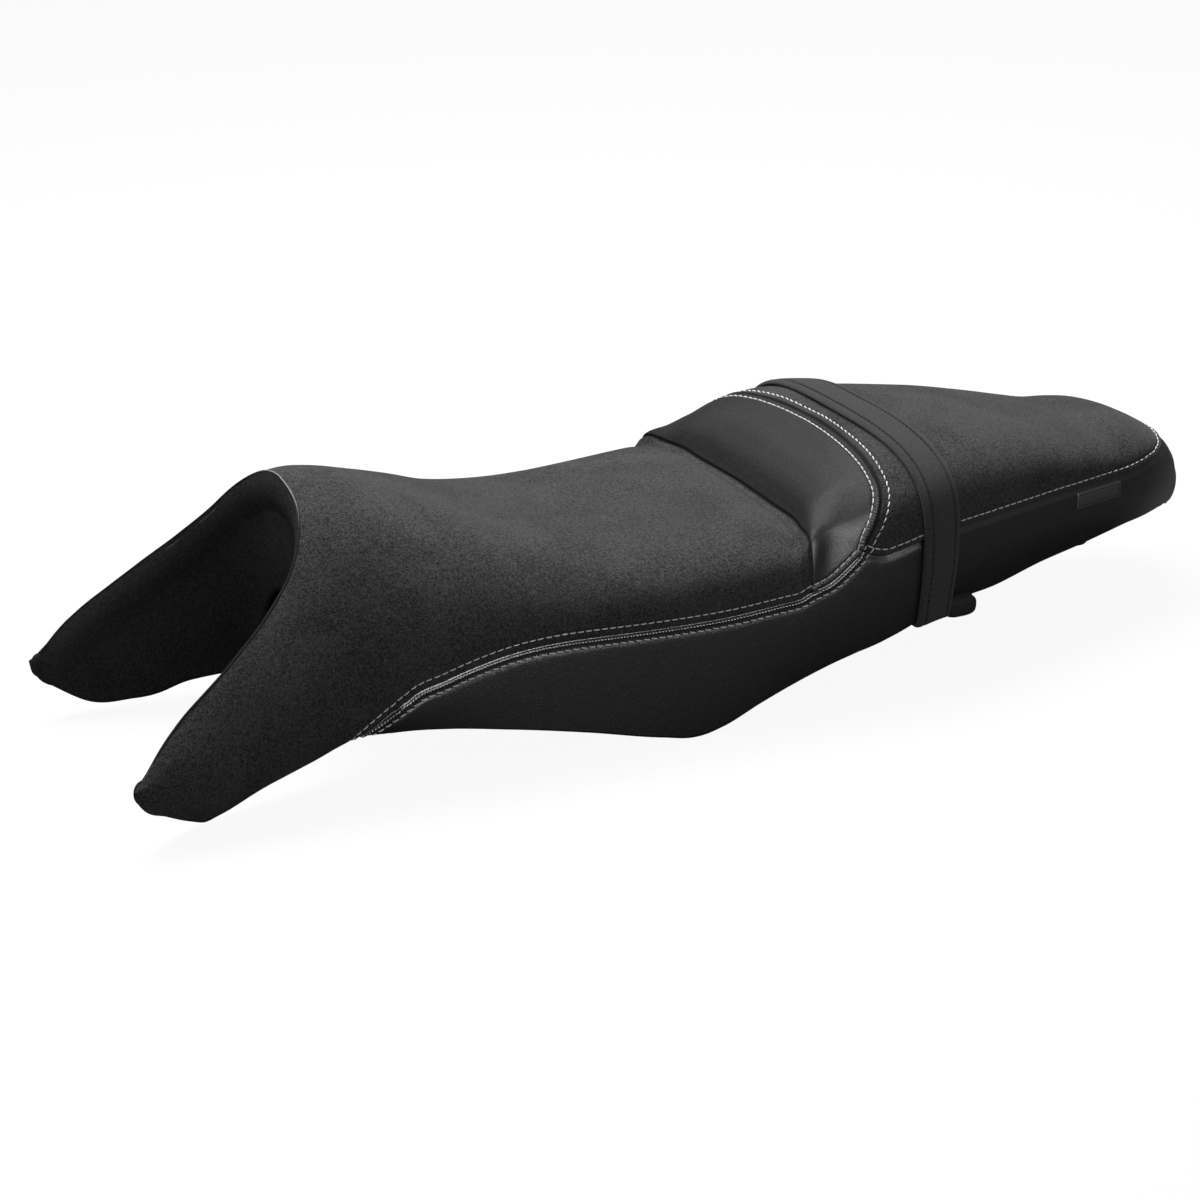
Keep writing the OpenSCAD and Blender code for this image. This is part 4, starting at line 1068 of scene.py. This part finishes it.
def new_group(name, inputs, outputs):
    """A group's tree with number inputs and outputs, what it is given, and its end node."""
    tree = bpy.data.node_groups.new(name, "ShaderNodeTree")
    for key, value in inputs.items():
        made = tree.interface.new_socket(key, in_out="INPUT", socket_type="NodeSocketFloat")
        made.default_value = value
    for key in outputs:
        tree.interface.new_socket(key, in_out="OUTPUT", socket_type="NodeSocketFloat")
    given, out = [tree.nodes.new("NodeGroup" + kind) for kind in ("Input", "Output")]
    return Shading(tree), given.outputs, out


def nap_group():
    """Suede nap: fine grain, a coarser clumping of it, and broad brushed patches."""
    n, given, out = new_group("nap", {"Grain": 1100.0, "Patch": 16.0}, ("Shade", "Height"))
    place = n.place()
    fine = n.noise(place, given["Grain"], Detail=3.0, Roughness=0.6)
    clumps = n.noise(place, n.times(given["Grain"], 0.32), Detail=2.0)
    patch = n.noise(place, given["Patch"], Detail=3.0, Distortion=0.8)
    grain = n.plus(n.times(fine, 0.78), n.times(clumps, 0.22))
    both = n.plus(n.about(grain, 0.5, 5.0), n.about(patch, 0.5, 0.7))
    n.put(out, {"Shade": n.plus(both, 0.5, True), "Height": grain})
    return n.tree


def hide_group():
    """Pressed leather grain: cells of uneven size with narrow valleys, and fine pores."""
    n, given, out = new_group("hide_grain", {"Cells": 620.0}, ("Shade", "Height"))
    place = n.place()
    bend = n.add("TexNoise", {"Vector": place, "Scale": 300.0})["Color"]
    bend = n.add("VectorMath", {0: bend, 1: (0.0016, 0.0016, 0.0016)}, operation="MULTIPLY")[0]
    moved = n.add("VectorMath", {0: bend, 1: place}, operation="ADD")[0]
    cells = n.add("TexVoronoi", {"Vector": moved, "Scale": given["Cells"]},
                  feature="DISTANCE_TO_EDGE")["Distance"]
    valley = n.ramp(cells, 0.0, 0.28)
    pores = n.noise(place, 2600.0, Detail=2.0)
    n.put(out, {"Shade": n.plus(n.times(valley, 0.6), n.times(pores, 0.4)),
                "Height": n.plus(valley, n.times(pores, 0.35))})
    return n.tree


def seam_group():
    """Masks from a cover's distance to its seam: painted shade for the groove and for the stitch
    row, and puckers.
    """
    n, given, out = new_group("seam_work", {"Pucker": 2.3}, ("GrooveShade", "StitchRowShade", "Puckers"))
    gap, run = n.mark("seam"), n.mark("run")
    turns = n.math("DIVIDE", n.times(run, 2 * math.pi), given["Pucker"])
    band = n.ramp(n.apart(gap, 3.0), 0.6, 2.6, 1.0, 0.0)
    n.put(out, {"GrooveShade": n.ramp(gap, 0.4, 2.0, 1.0, 0.0),
                "StitchRowShade": n.ramp(n.apart(gap, ROW), 0.3, 1.5, 1.0, 0.0),
                "Puckers": n.times(n.math("SINE", turns), band)})
    return n.tree


def handled_group():
    """Handling marks on hard parts: fine scratches, and a film that is uneven."""
    n, given, out = new_group("handling", {"Scratches": 90.0}, ("Scratch", "Film"))
    place = n.place()
    drawn = n.add("Mapping", {"Vector": place, "Scale": (1.0, 14.0, 3.0),
                              "Rotation": (0.3, 0.5, 0.4)})[0]
    lines = n.noise(drawn, given["Scratches"], Detail=5.0)
    n.put(out, {"Scratch": n.ramp(lines, 0.6, 0.75),
                "Film": n.noise(place, 45.0, Detail=5.0, Roughness=0.65)})
    return n.tree


nap, hide, seam_work, handling = nap_group(), hide_group(), seam_group(), handled_group()


def new_material(name, constants):
    """A material, its tree and its shader, with the numbers that hold all over it set."""
    made = bpy.data.materials.new(name)
    made.use_nodes = True
    n = Shading(made.node_tree)
    shader = n.tree.nodes["Principled BSDF"]
    n.put(shader, constants)
    return made, n, shader


def cover_material(name, group, grain, dark, light, rough, bump, constants, puckers):
    """A sewn cover: two tones of its grain, with painted shade in the seam's groove and along its
    stitch row, and grain and puckers raised.
    """
    made, n, shader = new_material(name, constants)
    surface = n.add("Group", grain, node_tree=group)
    seams = n.add("Group", node_tree=seam_work)
    # Painted shade: the colour falls to a quarter in the seam's groove
    colour = n.darkened(n.tones(surface["Shade"], dark, light), seams["GrooveShade"], 0.25)
    # Painted shade: the colour falls to 0.8 along the stitch row, where the cover is pinched
    colour = n.darkened(colour, seams["StitchRowShade"], 0.8)
    n.put(shader, {"Base Color": colour, "Roughness": n.between(surface["Shade"], *rough)})
    ribs = n.bumped(shader, seams["Puckers"], puckers)
    n.bumped(shader, surface["Height"], bump, Normal=ribs)
    return made


suede = cover_material("suede", nap, {"Grain": 1300.0}, (0.005, 0.005, 0.0053),
                       (0.071, 0.0705, 0.0705), (0.97, 0.86), 0.35,
                       {"Sheen Weight": 0.1, "Sheen Roughness": 0.5,
                        "Specular IOR Level": 0.03}, 0.15)
vinyl = cover_material("step_vinyl", nap, {"Grain": 1250.0}, (0.001, 0.001, 0.0012),
                       (0.0175, 0.0177, 0.0192), (0.5, 0.38), 0.4,
                       {"Specular IOR Level": 0.16}, 0.2)
side_vinyl = cover_material("side_vinyl", hide, {"Cells": 900.0}, (0.004, 0.004, 0.0045),
                            (0.010, 0.010, 0.0105), (0.42, 0.28), 0.05,
                            {"Specular IOR Level": 0.3}, 0.2)
lining_cloth = cover_material("lining", nap, {"Grain": 1300.0}, (0.045, 0.045, 0.0455),
                              (0.165, 0.163, 0.163), (0.98, 0.9), 0.3,
                              {"Specular IOR Level": 0.03}, 0.0)


def woven_material(name, pitch, dark, light, rough, constants):
    """Cloth woven over and under: two crossed bands of waves, with fuzz over them, and painted
    shade along its stitch rows.
    """
    made, n, shader = new_material(name, constants)
    place = n.place()
    wave = {"Vector": place, "Scale": 0.314 / (pitch * MM), "Distortion": 0.4}
    cloth = n.apart(*[n.add("TexWave", wave, bands_direction=way)["Fac"] for way in "XY"])
    fuzz = n.noise(place, 1300.0, Detail=3.0, Roughness=0.7)
    shade = n.plus(n.times(cloth, 0.35), n.plus(n.about(fuzz, 0.5, 2.6), 0.33), True)
    # Painted shade along the stitch rows, where the strap's top dips
    needle = n.add("Group", node_tree=seam_work)["StitchRowShade"]
    n.put(shader, {"Base Color": n.darkened(n.tones(shade, dark, light), needle, 0.4),
                   "Roughness": n.between(shade, *rough)})
    n.bumped(shader, n.plus(cloth, fuzz), 0.16)
    return made


strap_cloth = woven_material("strap_cloth", 1.1, (0.016, 0.016, 0.0162), (0.07, 0.07, 0.071),
                             (0.97, 0.85), {"Sheen Weight": 0.1, "Specular IOR Level": 0.04})
webbing = woven_material("webbing", 1.6, (0.008, 0.008, 0.009), (0.03, 0.03, 0.032),
                         (0.8, 0.6), {"Specular IOR Level": 0.3})


def thread_material(name, dark, light):
    """Twisted thread: slanting bands read from each stitch's own twist."""
    made, n, shader = new_material(name, {"Specular IOR Level": 0.06})
    band = n.math("SINE", n.times(n.mark("twist"), 2 * math.pi / THREAD_TWIST))
    share = n.plus(n.times(band, 0.4), 0.6, True)
    n.put(shader, {"Base Color": n.tones(share, dark, light),
                   "Roughness": n.between(share, 0.75, 0.6)})
    n.bumped(shader, share, 0.08)
    return made


thread_white = thread_material("thread_white", (0.62, 0.61, 0.59), (0.88, 0.87, 0.85))
thread_dark = thread_material("thread_dark", (0.006, 0.006, 0.007), (0.02, 0.02, 0.021))


def rim_material():
    """Thin piping: pale on the arch's crown, as in the photograph, and dark down both sides."""
    made, n, shader = new_material("rim_piping", {"Specular IOR Level": 0.1})
    surface = n.add("Group", {"Grain": 2200.0}, node_tree=nap)
    pale = n.tones(surface["Shade"], (0.15, 0.14, 0.13), (0.28, 0.262, 0.245))
    dull = n.tones(surface["Shade"], (0.007, 0.0066, 0.0063), (0.02, 0.019, 0.018))
    n.put(shader, {"Base Color": n.mixed(n.mark("shown"), dull, pale),
                   "Roughness": n.between(surface["Shade"], 0.85, 0.7)})
    n.bumped(shader, surface["Height"], 0.1)
    return made


thread_rim = rim_material()


def hard_material(name, dark, light, rough, grain, bump, constants):
    """Moulded or plated parts: a fine surface grain under scratches and an uneven film."""
    made, n, shader = new_material(name, constants)
    marks = n.add("Group", node_tree=handling)
    tone = n.plus(n.times(marks["Film"], 0.7), n.times(marks["Scratch"], 0.5), True)
    n.put(shader, {"Base Color": n.tones(tone, dark, light),
                   "Roughness": n.between(marks["Film"], *rough)})
    worn = n.bumped(shader, marks["Scratch"], -0.02)
    n.bumped(shader, n.noise(n.place(), grain, Detail=2.0), bump, Normal=worn)
    return made


pan_plastic = hard_material("pan_plastic", (0.012, 0.012, 0.013), (0.032, 0.032, 0.034),
                            (0.45, 0.7), 1500.0, 0.1, {})
rubber = hard_material("rubber", (0.006, 0.006, 0.006), (0.018, 0.0175, 0.017),
                       (0.75, 0.92), 1900.0, 0.06, {"Specular IOR Level": 0.06})
steel = hard_material("zinc_steel", (0.42, 0.42, 0.43), (0.68, 0.68, 0.66),
                      (0.24, 0.46), 700.0, 0.02, {"Metallic": 1.0})
tag_vinyl = cover_material("tag_vinyl", hide, {"Cells": 1200.0}, (0.028, 0.028, 0.029),
                           (0.05, 0.05, 0.051), (0.5, 0.38), 0.03, {}, 0.0)

finish_piece(rider, suede, ["rider_panel", "foam_core"])
finish_piece(step, vinyl, ["step_panel"])
finish_piece(passenger, suede, ["passenger_panel"])
finish_piece(side_left, side_vinyl, ["side_panel_left"])
finish_piece(side_right, side_vinyl, ["side_panel_right"])
finish_piece(lining, lining_cloth, ["arch_lining"])
finish_piece(rim_cord, thread_rim)
finish_piece(strap, strap_cloth, ["strap_cover"])
finish_piece(tag, tag_vinyl, ["side_tag"])
for row in (upper_stitches, lower_stitches, pad_stitches, curl_stitches):
    finish_piece(row, thread_white)
for row in strap_stitches:
    finish_piece(row, thread_dark)
finish_piece(tag_stitches, thread_dark)
for lump in horn_ends:
    finish_piece(lump, lining_cloth)
for lump, name in zip(edge_blocks, ("edge_block_left", "edge_block_right")):
    finish_piece(lump, rubber, [name])

NODE_FINISH = (
    (pan_plastic, ("base_pan", "front_tongue")), (webbing, ("strap_webbing",)),
    (steel, ("tongue_screws", "strap_clamps", "strap_bolts", "strap_washers", "striker_rod",
             "striker_plate", "striker_screws", "cover_staples")),
    (rubber, ("damper_front_left", "damper_front_right", "damper_rear_left",
              "damper_rear_right")),
)
for material, node_names in NODE_FINISH:
    for node_name in node_names:
        mesh = frame["nodes"][node_name].data
        mesh.materials.clear()
        mesh.materials.append(material)


# ---------------------------------------------------------------- stage and light
def flat(n, kind, level, **more):
    return n.add(kind, {"Color": (level, level, level, 1), **more})[0]


def seen_apart(n, replaced, end, unseen, seen):
    """Replaces a node by one surface for the camera's own rays and one for all others."""
    n.tree.nodes.remove(n.tree.nodes[replaced])
    looked_at = n.add("LightPath")["Is Camera Ray"]
    both = n.add("MixShader", {0: looked_at, 1: unseen, 2: seen})[0]
    n.put(n.tree.nodes[end], {"Surface": both})


def stage_material():
    """Pale to the camera, with a faint shadow; dim to bounced light, as in a dark studio."""
    made, n, _ = new_material("pale_floor", {})
    glow = flat(n, "Emission", 1, Strength=1.0)
    shown = n.add("MixShader", {0: 0.93, 1: flat(n, "BsdfDiffuse", 0.9), 2: glow})[0]
    seen_apart(n, "Principled BSDF", "Material Output", flat(n, "BsdfDiffuse", 0.14), shown)
    return made


FLOOR_HALF = 9000
plane = new_object("floor", [(a * FLOOR_HALF, b * FLOOR_HALF, -0.5)
                             for a, b in ((-1, -1), (1, -1), (1, 1), (-1, 1))], [(0, 1, 2, 3)])
plane.data.materials.append(stage_material())
plane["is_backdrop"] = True


def make_world():
    """White to the camera; a low even sky for everything else."""
    world = bpy.data.worlds.new("studio")
    bpy.context.scene.world = world
    world.use_nodes = True
    n = Shading(world.node_tree)
    seen_apart(n, "Background", "World Output", flat(n, "Background", 1, Strength=0.3),
               flat(n, "Background", 1, Strength=1.0))


def area_light(name, place, aim, size, watts):
    data = bpy.data.lights.new(name, "AREA")
    data.shape = "RECTANGLE"
    data.size, data.size_y = size
    data.energy = watts
    light = bpy.data.objects.new(name, data)
    bpy.context.collection.objects.link(light)
    light.location = place
    light.rotation_euler = (Vector(aim) - Vector(place)).to_track_quat("-Z", "Y").to_euler()
    light.visible_camera = False
    return light


make_world()
area_light("top_light", (0.16, -0.55, 1.5), (0, 0, 0.1), (1.8, 0.7), 46)
# A soft shine for the step panel's near flank: it adds to reflections only
shine = area_light("shine_light", (0.08, 1.12, 0.7), (-0.09, 0.12, 0.12), (1.0, 0.5), 72)
shine.visible_diffuse = False
bpy.context.scene.view_settings.view_transform = "Standard"


# ---------------------------------------------------------------- what shows, and how far from its image point
def shown_of(*objs):
    """Image places of the finished vertices of some objects."""
    return pixel(np.concatenate([[v.co for v in o.data.vertices] for o in objs]) / MM)


def middle_of(places):
    return (places.min(0) + places.max(0)) / 2


def gap_to(wanted, place):
    return [None if w is None else round(float(p - w), 1) for p, w in zip(place, wanted)]


def measure_points():
    """How far in x and y each thing shows from its image point, in the photograph's pixels.

    The far horn is what shows left of x = 110, the strap's end is right of 900 and below
    600, the rim's knee is within 30 of y = 530, and of the rubber block the lowest 18 pixels
    are taken to show.
    """
    everything = shown_of(*[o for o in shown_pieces() if o.type == "MESH"])
    low, high = everything.min(0), everything.max(0)
    horn = everything[everything[:, 0] < 110]
    block, strap_shown, rim = shown_of(edge_blocks[0]), shown_of(strap), shown_of(rim_cord)
    strap_end = strap_shown[(strap_shown[:, 1] > 600) & (strap_shown[:, 0] > 900)]
    knee = np.where(np.abs(rim[:, 1] - 530) < 30, rim[:, 0], 0).argmax()
    places = {
        "left_side": low, "right_side": high, "top_side": low, "bottom_side": high,
        "near_horn_low": everything[everything[:, 1].argmax()],
        "far_horn_tip": horn[horn[:, 0].argmin()], "rim_knee": rim[knee],
        "step_end": pixel(seat(*STEP_END)), "strap_low": middle_of(strap_end),
        "tag": middle_of(shown_of(tag)),
        "rubber_block": middle_of(block[block[:, 1] > block[:, 1].max() - 18]),
        "tail_tip": everything[everything[:, 0].argmax()],
    }
    # These are measured to the nearest place on their line
    upper = pixel(upper_row[0])
    lines = {"rim_crown": rim, "upper_row": upper, "seam_corner": upper, "crown_row": upper,
             "passenger_row": pixel(pad_row[0]), "row_curl": shown_of(curl_stitches)}
    for name, line in lines.items():
        places[name] = line[np.linalg.norm(line - POINTS[name], axis=1).argmin()]
    return {name: gap_to(wanted, places[name]) for name, wanted in POINTS.items()}


measure_points()
